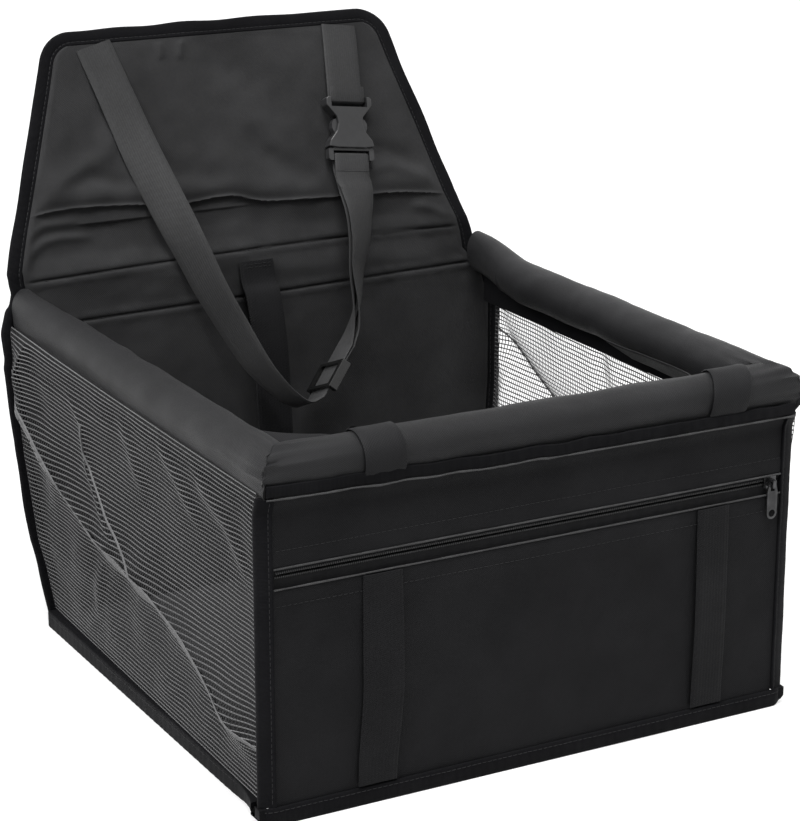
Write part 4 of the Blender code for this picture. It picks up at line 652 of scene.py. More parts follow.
def distances(path: Array) -> Array:
    """How far along a path each of its points is."""
    return np.concatenate([[0], np.linalg.norm(np.diff(path, axis=0), axis=1).cumsum()])


def run_length(path: Array) -> float:
    """A path's whole length."""
    return float(np.linalg.norm(np.diff(path, axis=0), axis=1).sum())


def sample(spots: Array, along: Array, path: Array) -> Array:
    """Points of a path, or of its directions, at some distances along it, from each point's own distance."""
    return np.stack([np.interp(spots, along, line) for line in path.T], -1)


@dataclass(frozen=True)
class Fold:
    """A crease or a soft ridge that runs over a cloth; a negative height makes a valley."""

    line: Points
    height: float
    width: float
    crisp: bool = False
    open_ends: bool = False

    def lift(self, across: Array, along: Array) -> Array:
        """How far the fold lifts the cloth.

        Args:
            across: The cloth's first coordinate.
            along: Its second.

        Returns:
            Heights in metres.
        """
        nearest = np.full(np.broadcast(across, along).shape, 1e9)
        share = np.zeros_like(nearest)
        line = np.asarray(self.line, float)
        spans = np.diff(line, axis=0)
        starts = distances(line)
        for start, span, done, end in zip(line, spans, starts, starts[1:]):
            du, dv = across - start[0], along - start[1]
            t = np.clip((du * span[0] + dv * span[1]) / (span @ span), 0, 1)
            distance = np.hypot(du - t * span[0], dv - t * span[1])
            closer = distance < nearest
            nearest = np.where(closer, distance, nearest)
            share = np.where(closer, (done + t * (end - done)) / starts[-1], share)
        fade = 1.0 if self.open_ends else ease(np.minimum(share, 1 - share) / 0.3)
        away = nearest / self.width
        profile = np.exp(-away * 1.4) if self.crisp else np.exp(-(away**2))
        return self.height * profile * fade


@dataclass(frozen=True)
class PressLine:
    """The line pressed across the flap at its board's foot: a sharp brow with a sunk band below it."""

    line: Points
    brow: float = 0.0026
    brow_reach: float = 0.0012
    bulge: float = 0.0030
    bulge_at: float = 0.011
    buckle_at: float = 0.088
    drop: float = 0.0016
    drop_reach: float = 0.0016
    sink: float = 0.0030
    sink_reach: float = 0.020

    def lift(self, across: Array, along: Array) -> Array:
        """How far the line lifts the cloth.

        Args:
            across: The cloth's first coordinate.
            along: Its second.

        Returns:
            Heights in metres.
        """
        gap = along - np.interp(across, *spline(self.line, 6).T)
        above, below = np.maximum(gap, 0), np.minimum(gap, 0)
        far = above / self.bulge_at
        flat = 1 - 0.95 * np.exp(-(((across - self.buckle_at) / 0.034) ** 2))
        over = self.brow * np.exp(-above / self.brow_reach) + self.bulge * flat * far**2 * np.exp(2 - 2 * far)
        sunk = self.drop * (1 - np.exp(below / self.drop_reach)) + self.sink * ease(-below / self.sink_reach)
        under = self.brow * np.exp(below * 2 / self.brow_reach) - sunk * ease((0.055 + below) / 0.025)
        return np.where(gap > 0, over, under) * (1 + 0.3 * rumple_along(across, 0.09, 17))


def fold_lift(folds: Iterable[Fold], across: Array, along: Array) -> Array:
    """The sum of several folds."""
    return sum(fold.lift(across, along) for fold in folds)


# ---------------------------------------------------------------- meshes


class Piece:
    """One visible piece: makes its mesh, and says what it rides on and stands for."""

    def __init__(self, name: str, material: Material, slot: Slot) -> None:
        """Name the piece, and choose its finish and its slot in the record."""
        self.name, self.material, self.slot = name, material, slot
        self.object: Optional[bpy.types.Object] = None

    def mesh(self, points: Array, quads: Array, uv: Array, caps: Sequence[Sequence[int]] = ()) -> "Piece":
        """Make the object.

        Args:
            points: Its vertices.
            quads: Four vertex numbers a face.
            uv: Cloth coordinates in metres, four pairs a face.
            caps: Further faces with any number of corners.

        Returns:
            The piece itself.
        """
        mesh = bpy.data.meshes.new(self.name)
        mesh.vertices.add(len(points))
        mesh.vertices.foreach_set("co", np.ascontiguousarray(points, np.float32).ravel())
        mesh.loops.add(quads.size)
        mesh.loops.foreach_set("vertex_index", np.ascontiguousarray(quads, np.int32).ravel())
        mesh.polygons.add(len(quads))
        mesh.polygons.foreach_set("loop_start", np.arange(0, quads.size, 4, dtype=np.int32))
        mesh.update(calc_edges=True)
        mesh.uv_layers.new(name="metres").data.foreach_set("uv", np.ascontiguousarray(uv, np.float32).ravel())
        shape = bmesh.new()
        shape.from_mesh(mesh)
        shape.verts.ensure_lookup_table()
        for cap in caps:
            shape.faces.new([shape.verts[number] for number in cap])
        bmesh.ops.recalc_face_normals(shape, faces=shape.faces)
        for face in shape.faces:
            face.smooth = True
        shape.to_mesh(mesh)
        shape.free()
        mesh.materials.append(self.material)
        mesh.set_sharp_from_angle(angle=HARD_EDGE)
        self.object = bpy.data.objects.new(self.name, mesh)
        bpy.context.scene.collection.objects.link(self.object)
        return self

    def shell(self, outer: Array, inner: Array, uv: Array) -> "Piece":
        """A closed cloth with two faces.

        Args:
            outer: Rows and columns of points on one face.
            inner: The same on the other.
            uv: Cloth coordinates of each point.

        Returns:
            The piece itself.
        """
        rows, columns = outer.shape[:2]
        index = np.arange(rows * columns).reshape(rows, columns)
        face = np.stack([index[:-1, :-1], index[1:, :-1], index[1:, 1:], index[:-1, 1:]], -1).reshape(-1, 4)
        rim = np.concatenate([index[0, :-1], index[:-1, -1], index[-1, :0:-1], index[:0:-1, 0]])
        after = np.roll(rim, -1)
        count = rows * columns
        border = np.stack([rim, after, after + count, rim + count], -1)
        quads = np.concatenate([face, face[:, ::-1] + count, border])
        points = np.concatenate([outer.reshape(-1, 3), inner.reshape(-1, 3)])
        return self.mesh(points, quads, np.tile(uv.reshape(-1, 2), (2, 1))[quads])

    def tube(self, rings: Array) -> "Piece":
        """A closed solid through rings of points: rings, points around each, coordinates.

        Args:
            rings: The rings in order, each with the same number of points.

        Returns:
            The piece itself.
        """
        count, sides = rings.shape[:2]
        index = np.arange(count * sides).reshape(count, sides)
        beside = np.roll(index, -1, axis=1)
        quads = np.stack([index[:-1], beside[:-1], beside[1:], index[1:]], -1).reshape(-1, 4)
        loops = np.concatenate([rings, rings[:, :1]], axis=1)
        around = np.concatenate([[0], np.linalg.norm(np.diff(loops, axis=1), axis=-1).mean(0).cumsum()])
        along = np.concatenate([[0], np.linalg.norm(np.diff(rings, axis=0), axis=-1).mean(1).cumsum()])
        j, i = np.meshgrid(np.arange(sides), np.arange(count - 1))
        corners = ((0, 0), (1, 0), (1, 1), (0, 1))
        uv = np.stack([np.stack([around[j + a], along[i + b]], -1) for a, b in corners], -2).reshape(-1, 4, 2)
        return self.mesh(rings.reshape(-1, 3), quads, uv, (range(sides), range((count - 1) * sides, count * sides)))

    def strands(self, centres: Array, normals: Array, half_wide: float, half_deep: float, sides: int = 4) -> "Piece":
        """Many like strands, each a closed rod.

        Args:
            centres: Strands, points along each, coordinates.
            normals: The way each point's depth is measured.
            half_wide: Half a strand's width.
            half_deep: Half its depth.
            sides: Sides of each rod.

        Returns:
            The piece itself.
        """
        lines, count = centres.shape[:2]
        beside = units(np.cross(units(np.gradient(centres, axis=1)), normals))
        rod = []
        for side in range(sides):
            turn = math.tau * side / sides
            rod.append(centres + beside * (math.cos(turn) * half_wide) + normals * (math.sin(turn) * half_deep))
        points = np.stack(rod, 2)
        index = np.arange(lines * count * sides).reshape(lines, count, sides)
        after = np.roll(index, -1, axis=2)
        quads = np.stack([index[:, :-1], after[:, :-1], after[:, 1:], index[:, 1:]], -1).reshape(-1, 4)
        caps = [tuple(ring) for line in index for ring in (line[0], line[-1])]
        return self.mesh(points.reshape(-1, 3), quads, np.zeros((len(quads), 4, 2)), caps)

    def ride(self, body: Body, *nodes: str) -> "Piece":
        """Ride on a body, in place of nodes of the frame."""
        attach(self.object, body.value)
        return self.stand_for(nodes)

    def bend(self, first: Body, second: Body, start: Sequence[float], end: Sequence[float], *nodes: str) -> "Piece":
        """Bake its place into its mesh, in place of nodes of the frame; it rides on no body and does not bend."""
        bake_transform(self.object)
        return self.stand_for(nodes)

    def stand_for(self, nodes: Sequence[str]) -> "Piece":
        """Hide the nodes that this piece stands for, and report it.

        Args:
            nodes: The nodes' names.

        Returns:
            The piece itself.
        """
        if nodes:
            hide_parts(*nodes)
        LOG.info("%s: %d faces", self.name, len(self.object.data.polygons))
        return self

    def sheet(self, width: float, length: float, held: Held, rests_on: str) -> None:
        """Take its flat size, how it is held and what it rests on; nothing is done with them."""


def follow(path: Array, across: Array) -> tuple[Array, Array]:
    """A strap's width directions, made square to its path, and its face directions.

    Args:
        path: The strap's middle line.
        across: Its wanted width direction at each point.

    Returns:
        The width directions, and the face directions.
    """
    along = tangents(path)
    across = units(across - along * (across * along).sum(-1, keepdims=True))
    return across, units(np.cross(across, along))


def webbing(piece: Piece, centres: Array, across: Array, width: float, seed: int) -> Piece:
    """Make a piece a flat woven strap with rounded selvedges.

    Args:
        piece: The piece.
        centres: The strap's middle line.
        across: Its wanted width direction at each point.
        width: Its width.
        seed: Which unevenness.

    Returns:
        The piece itself.
    """
    across, normals = follow(centres, across)
    edge, face = width / 2 - WEBBING_HALF * 1.2, width * 0.3
    top = [(-width / 2, 0.0), (-edge, 1.0), (-face, 0.92), (0.0, 0.88), (face, 0.92), (edge, 1.0)]
    section = top + [(width / 2, 0.0)] + [(x, -y) for x, y in top[:0:-1]]
    rings = np.stack([centres + across * x + normals * (y * WEBBING_HALF) for x, y in section], 1)
    return piece.tube(rings + normals[:, None] * (rumple(rings, 0.035, seed) * 0.00022)[..., None])


class Seam:
    """Rows of stitches, gathered into one piece."""

    def __init__(self, length: float = 0.0030, spacing: float = 0.0040, thread: float = 0.00042) -> None:
        """Set a stitch's length, the distance to the next, and the thread's thickness."""
        self.length, self.spacing, self.thread = length, spacing, thread
        self.rows: list[tuple[Array, Array]] = []

    def row(self, path: Array, normals: Sequence[float] | Array) -> None:
        """Sew along a path.

        Args:
            path: Points on the cloth's surface.
            normals: The surface's direction, one for all points or one for each.
        """
        along = distances(path)
        starts = np.arange(self.spacing / 2, along[-1] - self.length, self.spacing)
        rises = np.array((-0.5, 0.25, 0.55, 0.25, -0.5)) * self.thread
        spots = starts[:, None] + np.array((0.0, 0.18, 0.5, 0.82, 1.0)) * self.length
        ways = units(sample(spots, along, np.broadcast_to(normals, path.shape)))
        self.rows.append((sample(spots, along, path) + ways * rises[:, None], ways))

    def sew(self, name: str, material: Material) -> Piece:
        """Make the stitches one piece."""
        centres, normals = (np.concatenate(group) for group in zip(*self.rows))
        return Piece(name, material, Slot.BINDING).strands(centres, normals, self.thread / 2, self.thread / 2, 5)


def sleeve_section(steps: int) -> tuple[Array, Array]:
    """A sleeve's section: a round, and the tail that is sewn to the wall below it.

    Args:
        steps: Steps round it.

    Returns:
        Its (outward, up) points, and how freely each may swell.
    """
    turns = TAIL_FROM + (math.tau + TAIL_TO - TAIL_FROM) * np.arange(steps + 1) / steps
    points = SLEEVE_RADIUS * np.stack([np.cos(turns), np.sin(turns)], -1)
    foot = -(SLEEVE_RADIUS + SLEEVE_TAIL)
    half = 0.0012
    tail = [(TAIL_OUT + half * side, foot + half * (abs(side) == 1)) for side in (-1, -0.5, 0.5, 1)]
    free = np.minimum(1.0, np.minimum(np.arange(steps + 1), steps - np.arange(steps + 1)) / 4)
    return np.vstack([points, tail]), np.append(free, np.zeros(4))


def binding_rings(outer: Array, inner: Array, faces: Array, seed: int, pucker: float = 0.00010) -> tuple[Array, Array]:
    """Rings of a folded binding, and the line on its face that its stitches follow.

    Args:
        outer: Its folded edge, point by point.
        inner: Its other edge.
        faces: The direction of its front face at each point.
        seed: Which unevenness.
        pucker: How deep the stitches draw it in.

    Returns:
        The rings, and the stitch line's points on the front face.
    """
    profile = ((0.0, 0.0), (0.02, 0.5), (0.07, 0.85), (0.16, 1.0), (0.50, 0.96), (0.68, 0.88), (0.76, 0.72))
    profile += ((0.84, 0.88), (0.96, 0.92), (1.0, 0.7))
    middle = (outer + inner) / 2
    waves = np.sin(distances(middle) * math.tau / STITCH_PITCH + rumple(middle, 0.03, seed) * 1.5) * pucker
    sway = rumple(middle, 0.05, seed + 1) * 0.0004
    rings = []
    for side in (1, -1):
        for share, rise in profile if side > 0 else profile[:0:-1]:
            lift = BINDING_HALF * rise * side + (waves * (1 - abs(share - 0.5))) + sway
            rings.append(outer + (inner - outer) * share + faces * lift[:, None])
    line = outer + (inner - outer) * 0.76 + faces * (BINDING_HALF * 0.74 + sway)[:, None]
    return np.stack(rings, 1), line


def rounded(low: tuple[float, float], high: tuple[float, float], radius: float, steps: int = 4) -> Points:
    """A rectangle with round corners.

    Args:
        low: Its lowest corner.
        high: Its highest corner.
        radius: The corners' radius.
        steps: Steps round each corner.

    Returns:
        Its points in order.
    """
    points = []
    for x, y, start in ((high[0], high[1], 0), (low[0], high[1], 90), (low[0], low[1], 180), (high[0], low[1], 270)):
        cx = x - math.copysign(radius, x - (low[0] + high[0]) / 2)
        cy = y - math.copysign(radius, y - (low[1] + high[1]) / 2)
        for step in range(steps + 1):
            turn = math.radians(start + 90 * step / steps)
            points.append((cx + radius * math.cos(turn), cy + radius * math.sin(turn)))
    return points


def run_across(x: Array, section: Points) -> Array:
    """Rings of a bar that runs across, at places from left to right, with (depth, height) points."""
    return np.stack([np.stack([x, np.full_like(x, y), np.full_like(x, z)], -1) for y, z in section], 1)


def stitch_waves(along: Array, seed: int) -> Array:
    """How a row of stitches draws a binding in and out, by distance along it."""
    return np.sin(along * math.tau / STITCH_PITCH + rumple_along(along, 0.03, seed) * 2) * STITCH_PUCKER


def grid(first: Array, second: Array) -> tuple[Array, Array]:
    """Two coordinates over a grid, rows following the second."""
    return np.meshgrid(first, second)


def steps_between(low: float, high: float, step: float) -> Array:
    """Even values from low to high, about a step apart."""
    return np.linspace(low, high, max(2, round((high - low) / step)) + 1)


def border_fade(shares: Iterable[Array], reach: float) -> Array:
    """How free a point is, from 0 at a cloth's border to 1 inside it.

    Args:
        shares: How far across the cloth each point is, from 0 to 1, once for each way.
        reach: The share over which it comes free.

    Returns:
        A value for each point.
    """
    free = 1.0
    for share in shares:
        free = free * ease(np.minimum(share, 1 - share) / reach)
    return free


def inflate(piece: Piece, pinned: Array, pressure: float, cap: float) -> None:
    """Puff a cloth up with Blender's cloth, and keep the result in its mesh.

    Args:
        piece: The piece, before it rides on anything.
        pinned: How firmly each vertex is held, from 0 to 1.
        pressure: The air pressure inside it.
        cap: How far a point may move.
    """
    shape = piece.object
    group = shape.vertex_groups.new(name="held")
    for level in sorted({round(float(value), 1) for value in pinned} - {0.0}):
        group.add(np.flatnonzero(np.round(pinned, 1) == level).tolist(), level, "REPLACE")
    cloth = shape.modifiers.new("puff", "CLOTH")
    settings = cloth.settings
    settings.quality = 5
    settings.mass = 0.25
    settings.tension_stiffness = settings.compression_stiffness = 12
    settings.shear_stiffness = 6
    settings.bending_stiffness = 0.15
    settings.use_pressure = True
    settings.uniform_pressure_force = pressure
    settings.effector_weights.gravity = 0
    settings.vertex_group_mass = "held"
    cloth.collision_settings.use_collision = False
    cloth.point_cache.frame_start, cloth.point_cache.frame_end = 1, PUFF_FRAMES
    scene = bpy.context.scene
    for number in range(1, PUFF_FRAMES + 1):
        scene.frame_set(number)
    count = len(shape.data.vertices)
    rest, puffed = np.empty(count * 3, np.float32), np.empty(count * 3, np.float32)
    shape.data.vertices.foreach_get("co", rest)
    shape.evaluated_get(bpy.context.evaluated_depsgraph_get()).data.vertices.foreach_get("co", puffed)
    moves = (puffed - rest).reshape(-1, 3).astype(float)
    far = np.linalg.norm(moves, axis=1, keepdims=True)
    moves *= cap * np.tanh(far / cap) / np.maximum(far, 1e-9)
    shape.modifiers.remove(cloth)
    scene.frame_set(1)
    shape.data.vertices.foreach_set("co", (rest.reshape(-1, 3) + moves).astype(np.float32).ravel())
    shape.data.update()


# ---------------------------------------------------------------- sub-assemblies


@dataclass
class Studio:
    """The pale floor, the soft lights and the camera."""

    eye: Triple = (-0.8475, -1.5489, 0.7459)
    aim: Triple = (0.459, 0.837, -0.297)
    lens: float = 111.8
    floor_size: float = 12.0
    ambient: float = 0.18
    floor_colour: float = 0.42
    floor_glow: float = 0.68

    def seen(self, tree: bpy.types.NodeTree) -> Socket:
        """1 where the eye sees a surface, straight or in a reflection, and 0 where it only gives light.

        Args:
            tree: The nodes that it goes into.

        Returns:
            The value's socket.
        """
        rays = tree.nodes.new("ShaderNodeLightPath")
        largest = rays.outputs["Is Camera Ray"]
        for name in ("Is Glossy Ray", "Is Transmission Ray"):
            either = tree.nodes.new("ShaderNodeMath")
            either.operation = "MAXIMUM"
            tree.links.new(largest, either.inputs[0])
            tree.links.new(rays.outputs[name], either.inputs[1])
            largest = either.outputs[0]
        return largest

    def floor(self) -> None:
        """Lay the floor: pale paper that looks white and keeps a shadow."""
        mesh = bpy.data.meshes.new("studio_floor")
        half = self.floor_size / 2
        mesh.from_pydata([(-half, -half, 0), (half, -half, 0), (half, half, 0), (-half, half, 0)], [], [(0, 1, 2, 3)])
        kit = NodeKit("studio_paper")
        kit.surface(Base_Color=(*[self.floor_colour] * 3, 1), Roughness=0.9, Specular_IOR_Level=0.0)
        glow = kit.node("ShaderNodeEmission", Strength=kit.math("MULTIPLY", self.seen(kit.tree), self.floor_glow))
        both = kit.tree.nodes.new("ShaderNodeAddShader")
        kit.put(both.inputs[0], kit.shader.outputs[0])
        kit.put(both.inputs[1], glow.outputs[0])
        kit.put(kit.tree.nodes["Material Output"].inputs["Surface"], both.outputs[0])
        mesh.materials.append(kit.material)
        floor = bpy.data.objects.new("studio_floor", mesh)
        bpy.context.scene.collection.objects.link(floor)

    def surround(self) -> None:
        """Light the world weakly, and show it white."""
        world = bpy.data.worlds.new("studio_air")
        world.use_nodes = True
        tree = world.node_tree
        mix = tree.nodes.new("ShaderNodeMixShader")
        tree.links.new(self.seen(tree), mix.inputs[0])
        airs = (tree.nodes["Background"], self.ambient), (tree.nodes.new("ShaderNodeBackground"), 1.0)
        for number, (air, strength) in enumerate(airs, 1):
            air.inputs["Color"].default_value = (1, 1, 1, 1)
            air.inputs["Strength"].default_value = strength
            tree.links.new(air.outputs[0], mix.inputs[number])
        tree.links.new(mix.outputs[0], tree.nodes["World Output"].inputs["Surface"])
        bpy.context.scene.world = world

    def lamp(self, name: str, source: Triple, strength: float, softness: float) -> None:
        """Shine a wide, soft light from far off.

        Args:
            name: Its name.
            source: The direction that it comes from.
            strength: Its strength.
            softness: How many degrees wide it is.
        """
        light = bpy.data.lights.new(name, "SUN")
        light.energy = strength
        light.angle = math.radians(softness)
        lamp = bpy.data.objects.new(name, light)
        lamp.matrix_world = Vector(source).to_track_quat("Z", "Y").to_matrix().to_4x4()
        bpy.context.scene.collection.objects.link(lamp)

    def camera(self) -> None:
        """Set the camera at the photograph's place."""
        camera = bpy.data.cameras.new("camera")
        camera.sensor_fit = "VERTICAL"
        camera.sensor_height = 36
        camera.lens = self.lens
        holder = bpy.data.objects.new("camera", camera)
        forward = Vector(self.aim).normalized()
        right = forward.cross(Vector((0, 0, 1))).normalized()
        turn = Matrix((right, right.cross(forward), -forward)).transposed().to_4x4()
        holder.matrix_world = Matrix.Translation(self.eye) @ turn
        bpy.context.scene.collection.objects.link(holder)
        bpy.context.scene.camera = holder

    def build(self) -> None:
        """Set the whole studio."""
        self.floor()
        self.surround()
        self.lamp("top_lamp", (-0.05, -0.25, 1.0), 2.6, 30)
        self.lamp("left_lamp", (-1.0, -0.15, 1.00), 2.1, 36)
        self.camera()
        bpy.context.scene.view_settings.view_transform = "Standard"


@dataclass
class Rim:
    """The padded sleeves along the front and the sides."""

    palette: Palette
    steps: int = 44
    lump: float = 0.0006
    gather: float = 0.0020
    hang_to: float = -0.0095
    gather_reach: float = 0.022
    waves: int = 13
    mitre_fade: float = 0.040
    rear_reach: float = 0.090
    rear_lift: float = 0.0085
    rear_spread: tuple[float, float] = (0.0105, 0.0035)
    rear_width: float = 0.62
    rear_height: float = 1.02
    fullness: float = 0.7

    def reaches(self, length: float) -> Array:
        """Distances of the rings from a mitred end, close together near it."""
        near = np.array((0.0, 0.0012, 0.003, 0.0055, 0.0085, 0.012, 0.016, 0.021, 0.027, 0.034))
        return np.append(near, steps_between(0.042, length, 0.006))

    def sleeve(self, place: str, rings: Array, ways: Array, free: Array, reach: Array, seed: int) -> None:
        """Make a sleeve, with lumps everywhere and gathers near its mitre.

        Args:
            place: The start of its name.
            rings: Its plain rings.
            ways: Their outward directions.
            free: How freely each point of a ring moves.
            reach: Each ring's distance from the nearest mitre.
            seed: Which unevenness.
        """
        turn = np.arange(rings.shape[1]) / rings.shape[1] * math.tau
        drift = rumple(rings, 0.05, seed) * 0.6
        folds = np.sin(turn[None, :] * self.waves + drift * 2) + 0.5 * np.sin(turn[None, :] * (self.waves * 1.6) + seed)
        near, tuck = np.exp(-reach / self.gather_reach)[:, None], np.exp(-reach / 0.003)[:, None]
        amount = rumple(rings, 0.045, seed) * self.lump + rumple(rings, 0.018, seed + 1) * self.lump * 0.35
        amount = amount + folds * near * self.gather * 0.5 - tuck * 0.0009
        piece = Piece(f"{place}_sleeve_cloth", self.palette.rim, Slot.RIM_CLOTH)
        piece.tube(rings + ways * (amount * free)[..., None]).ride(Body.BOX, f"{place}_sleeve")

    def front(self) -> None:
        """Build the front sleeve, gathered and mitred at both corners."""
        section, free = sleeve_section(self.steps)
        half = SIDE_RIM_X - GAP / 2 * math.sqrt(2)
        reach = self.reaches(half)
        reach = np.append(reach, reach[-2::-1])
        centre = np.where(np.arange(len(reach)) < len(reach) / 2, -1, 1) * (half - reach)
        out, up = section[:, 0], section[:, 1]
        fade = np.clip(1 - reach / self.mitre_fade, 0, 1)
        x = centre[:, None] + np.sign(centre)[:, None] * out * fade[:, None]
        rings = np.stack([x, np.broadcast_to(FRONT_RIM_Y - out, x.shape), np.broadcast_to(RIM_Z + up, x.shape)], -1)
        self.sleeve("front", rings, units(np.stack([np.zeros_like(out), -out, up], -1)), free, reach, 3)

    def side(self, side: Side) -> None:
        """Build a side sleeve: mitred in front, flattened and lifted where it is sewn to the back.

        Args:
            side: Which side of the seat.
        """
        section, free = sleeve_section(self.steps)
        hanging = (section[:, 0] > 0) & (section[:, 1] < 0) & (section[:, 1] >= self.hang_to - 0.0002)
        section[:, 0] = np.where(hanging, SLEEVE_RADIUS * 0.99, section[:, 0])
        flat_from = back_front_y(RIM_Z, COVER_HALF) - self.rear_reach
        reach = self.reaches(flat_from - FRONT_RIM_Y)
        rings = []
        out, up = section[:, 0], section[:, 1]
        for distance in reach:
            fade = max(0.0, 1 - distance / self.mitre_fade)
            y = FRONT_RIM_Y + distance + GAP / 2 * math.sqrt(2) - out * fade
            rings.append(np.stack([side * (SIDE_RIM_X + out), y, RIM_Z + up], -1))
        tail = np.linspace(0, 1, 12)[1:]
        for share in tail:
            soft = share * share * (3 - 2 * share)
            z = RIM_Z + self.rear_lift * soft + up * (1 + (self.rear_height - 1) * soft)
            y = flat_from + (back_front_y(z, COVER_HALF) - GAP - flat_from) * share
            x = SIDE_RIM_X + self.rear_spread[side > 0] * soft + out * (1 + (self.rear_width - 1) * soft)
            rings.append(np.stack([side * x, y, z], -1))
        far = np.append(reach, reach[-1] + tail * self.rear_reach)
        ways = units(np.stack([side * out, np.zeros(len(section)), up], -1))
        self.sleeve(side.word, np.stack(rings), ways, free, far, 20 + side)

    def build(self) -> None:
        """Build the three sleeves."""
        self.front()
        for side in Side:
            self.side(side)


@dataclass
class FrontWall:
    """The front wall: lining, pocket panel, header, bands and bindings."""

    palette: Palette
    seam: Seam
    thickness: float = 0.002
    pocket_gap: float = 0.004
    hem: float = 0.0095
    hem_rise: float = 0.0006
    bands: Points = ((-0.1212, 0.0288), (0.1370, 0.0262))
    band_foot: float = 0.0145
    corner_round: float = 0.011
    edge_roll: float = 0.0007
    corner_turn: float = 0.0045
    welt_height: float = 0.0080
    welt_out: float = 0.0058
    welt_thickness: float = 0.0021
    pocket_folds: tuple[Fold, ...] = (
        Fold(((-0.19, 0.150), (-0.10, 0.146), (0.0, 0.149), (0.10, 0.146), (0.19, 0.150)), 0.0010, 0.010),
        Fold(((-0.02, 0.03), (0.01, 0.08), (0.00, 0.13)), 0.0009, 0.05),
        Fold(((0.135, 0.06), (0.16, 0.05), (0.19, 0.055)), 0.0006, 0.008),
        Fold(((-0.19, 0.05), (-0.16, 0.09), (-0.145, 0.14)), 0.0006, 0.012),
    )

    def lining(self) -> None:
        """Build the padded lining of the wall."""
        outer_y = PANEL_FACE_Y + self.thickness + self.pocket_gap
        x, z = grid(steps_between(-PANEL_HALF, PANEL_HALF, 0.006), steps_between(PANEL_FOOT, WALL_TOP, 0.006))
        shares = (x + PANEL_HALF) / (2 * PANEL_HALF), (z - PANEL_FOOT) / (WALL_TOP - PANEL_FOOT)
        uneven = rumple(np.stack([x, z], -1), 0.06, 41) * 0.0006 * border_fade(shares, 0.08)
        edge = 0.0011 * (1 - border_fade(shares, 0.015))
        front = np.stack([spread_left(x), outer_y + edge, z], -1)
        back = np.stack([spread_left(x), outer_y + COVER_HALF * 2 - edge + uneven, z], -1)
        piece = Piece("front_lining", self.palette.cloth, Slot.CLOTH).shell(front, back, np.stack([x, z], -1))
        piece.ride(Body.BOX, "front_cover").object

    def panel(
        self, name: str, node: str, low: float, high: float, folds: Sequence[Fold], hem_way: int, seed: int
    ) -> None:
        """Build one panel of the wall's face.

        Args:
            name: The piece's name.
            node: The node that it stands for.
            low: Its lower edge.
            high: Its upper edge.
            folds: Its folds.
            hem_way: 1 when its lower edge is turned in, -1 when its upper one is.
            seed: Which unevenness.
        """
        x, z = grid(steps_between(-PANEL_HALF, PANEL_HALF, 0.004), steps_between(low, high, CLOTH_STEP * 0.7))
        share_x = (x + PANEL_HALF) / (2 * PANEL_HALF)
        free = border_fade((share_x, (z - low) / (high - low)), 0.06)
        lift = rumple(np.stack([x, z], -1), 0.09, seed) * 0.0004 * free
        lift = lift + fold_lift(folds, x, z) * ease(share_x * (1 - share_x) * 30)
        inside = (z - (low if hem_way > 0 else high)) * hem_way
        lift = lift + self.hem_rise * ease((self.hem - inside) / 0.0016)
        pucker = np.sin(x * math.tau / 0.009 + rumple_along(x, 0.04, seed + 2))
        lift = lift + 0.00022 * pucker * np.exp(-(((inside - self.hem) / 0.003) ** 2))
        wide = spread_left(x)
        lifted, forward = raised_seam(x, z)
        outer = np.stack([wide, PANEL_FACE_Y - lift - forward, lifted], -1)
        inner_y = PANEL_FACE_Y + self.thickness - np.minimum(lift, 0.0012) * 0.6 - forward
        inner = np.stack([wide, inner_y, lifted], -1)
        # The panels take the darker copy of the oxford: painted shade.
        piece = Piece(name, self.palette.pocket, Slot.CLOTH).shell(outer, inner, np.stack([x, z], -1))
        self.seam.row(outer[int(np.argmin(np.abs(inside[:, 0] - self.hem)))], FORWARD)
        self.turned_edge_painted_highlight(f"{name}_edge", outer[0 if hem_way > 0 else -1], hem_way, seed)
        piece.ride(Body.BOX, node).sheet(2 * PANEL_HALF, high - low, Held.STRETCHED, "front_lining")

    def turned_edge_painted_highlight(self, name: str, edge: Array, way: int, seed: int) -> None:
        """Build the round fold along a panel's turned-in edge, in a lighter cloth that paints a highlight along it.

        Args:
            name: The piece's name.
            edge: Points along the edge.
            way: 1 when the panel lies above it, -1 when it lies below.
            seed: Which unevenness.
        """
        turns = np.linspace(0, math.tau, 9)[:-1]
        radius = self.edge_roll * (1 + 0.2 * rumple(edge[:, :1], 0.03, seed + 5))[:, None]
        middle = edge + np.array((0.0, -self.edge_roll * 0.4, -way * (self.edge_roll * 1.4 + GAP)))
        rings = np.stack([middle + radius * np.array((0.0, math.cos(turn), math.sin(turn))) for turn in turns], 1)
        Piece(name, self.palette.edge, Slot.CLOTH).tube(rings).ride(Body.BOX)

    def band(self, side: Side, lean: float, seed: int) -> None:
        """Build a webbing band.

        Args:
            side: Which band.
            lean: How far its left edge stands off, in degrees.
            seed: Which unevenness.
        """
        x, width = self.bands[side > 0]
        z = steps_between(self.band_foot, POCKET_TOP, 0.003)
        share = (z - self.band_foot) / (POCKET_TOP - self.band_foot)
        bow = np.sin(share * math.pi) * 0.0012 + self.hem_rise + 0.0006
        turn = np.radians(lean) * np.sin(share * math.pi)
        aside = -0.0007 * abs(lean) * (1 - ease(share / 0.5))
        centres = np.stack([x + aside, PANEL_FACE_Y - GAP - WEBBING_HALF - bow, z], -1)
        across = np.stack([np.cos(turn), -np.sin(turn), np.zeros_like(z)], -1)
        piece = webbing(Piece(f"{side.word}_band", self.palette.band, Slot.WEBBING), centres, across, width, seed)
        piece.ride(Body.BOX, f"{side.word}_front_band")
        piece.sheet(width, POCKET_TOP - self.band_foot, Held.STRETCHED, "pocket_front")

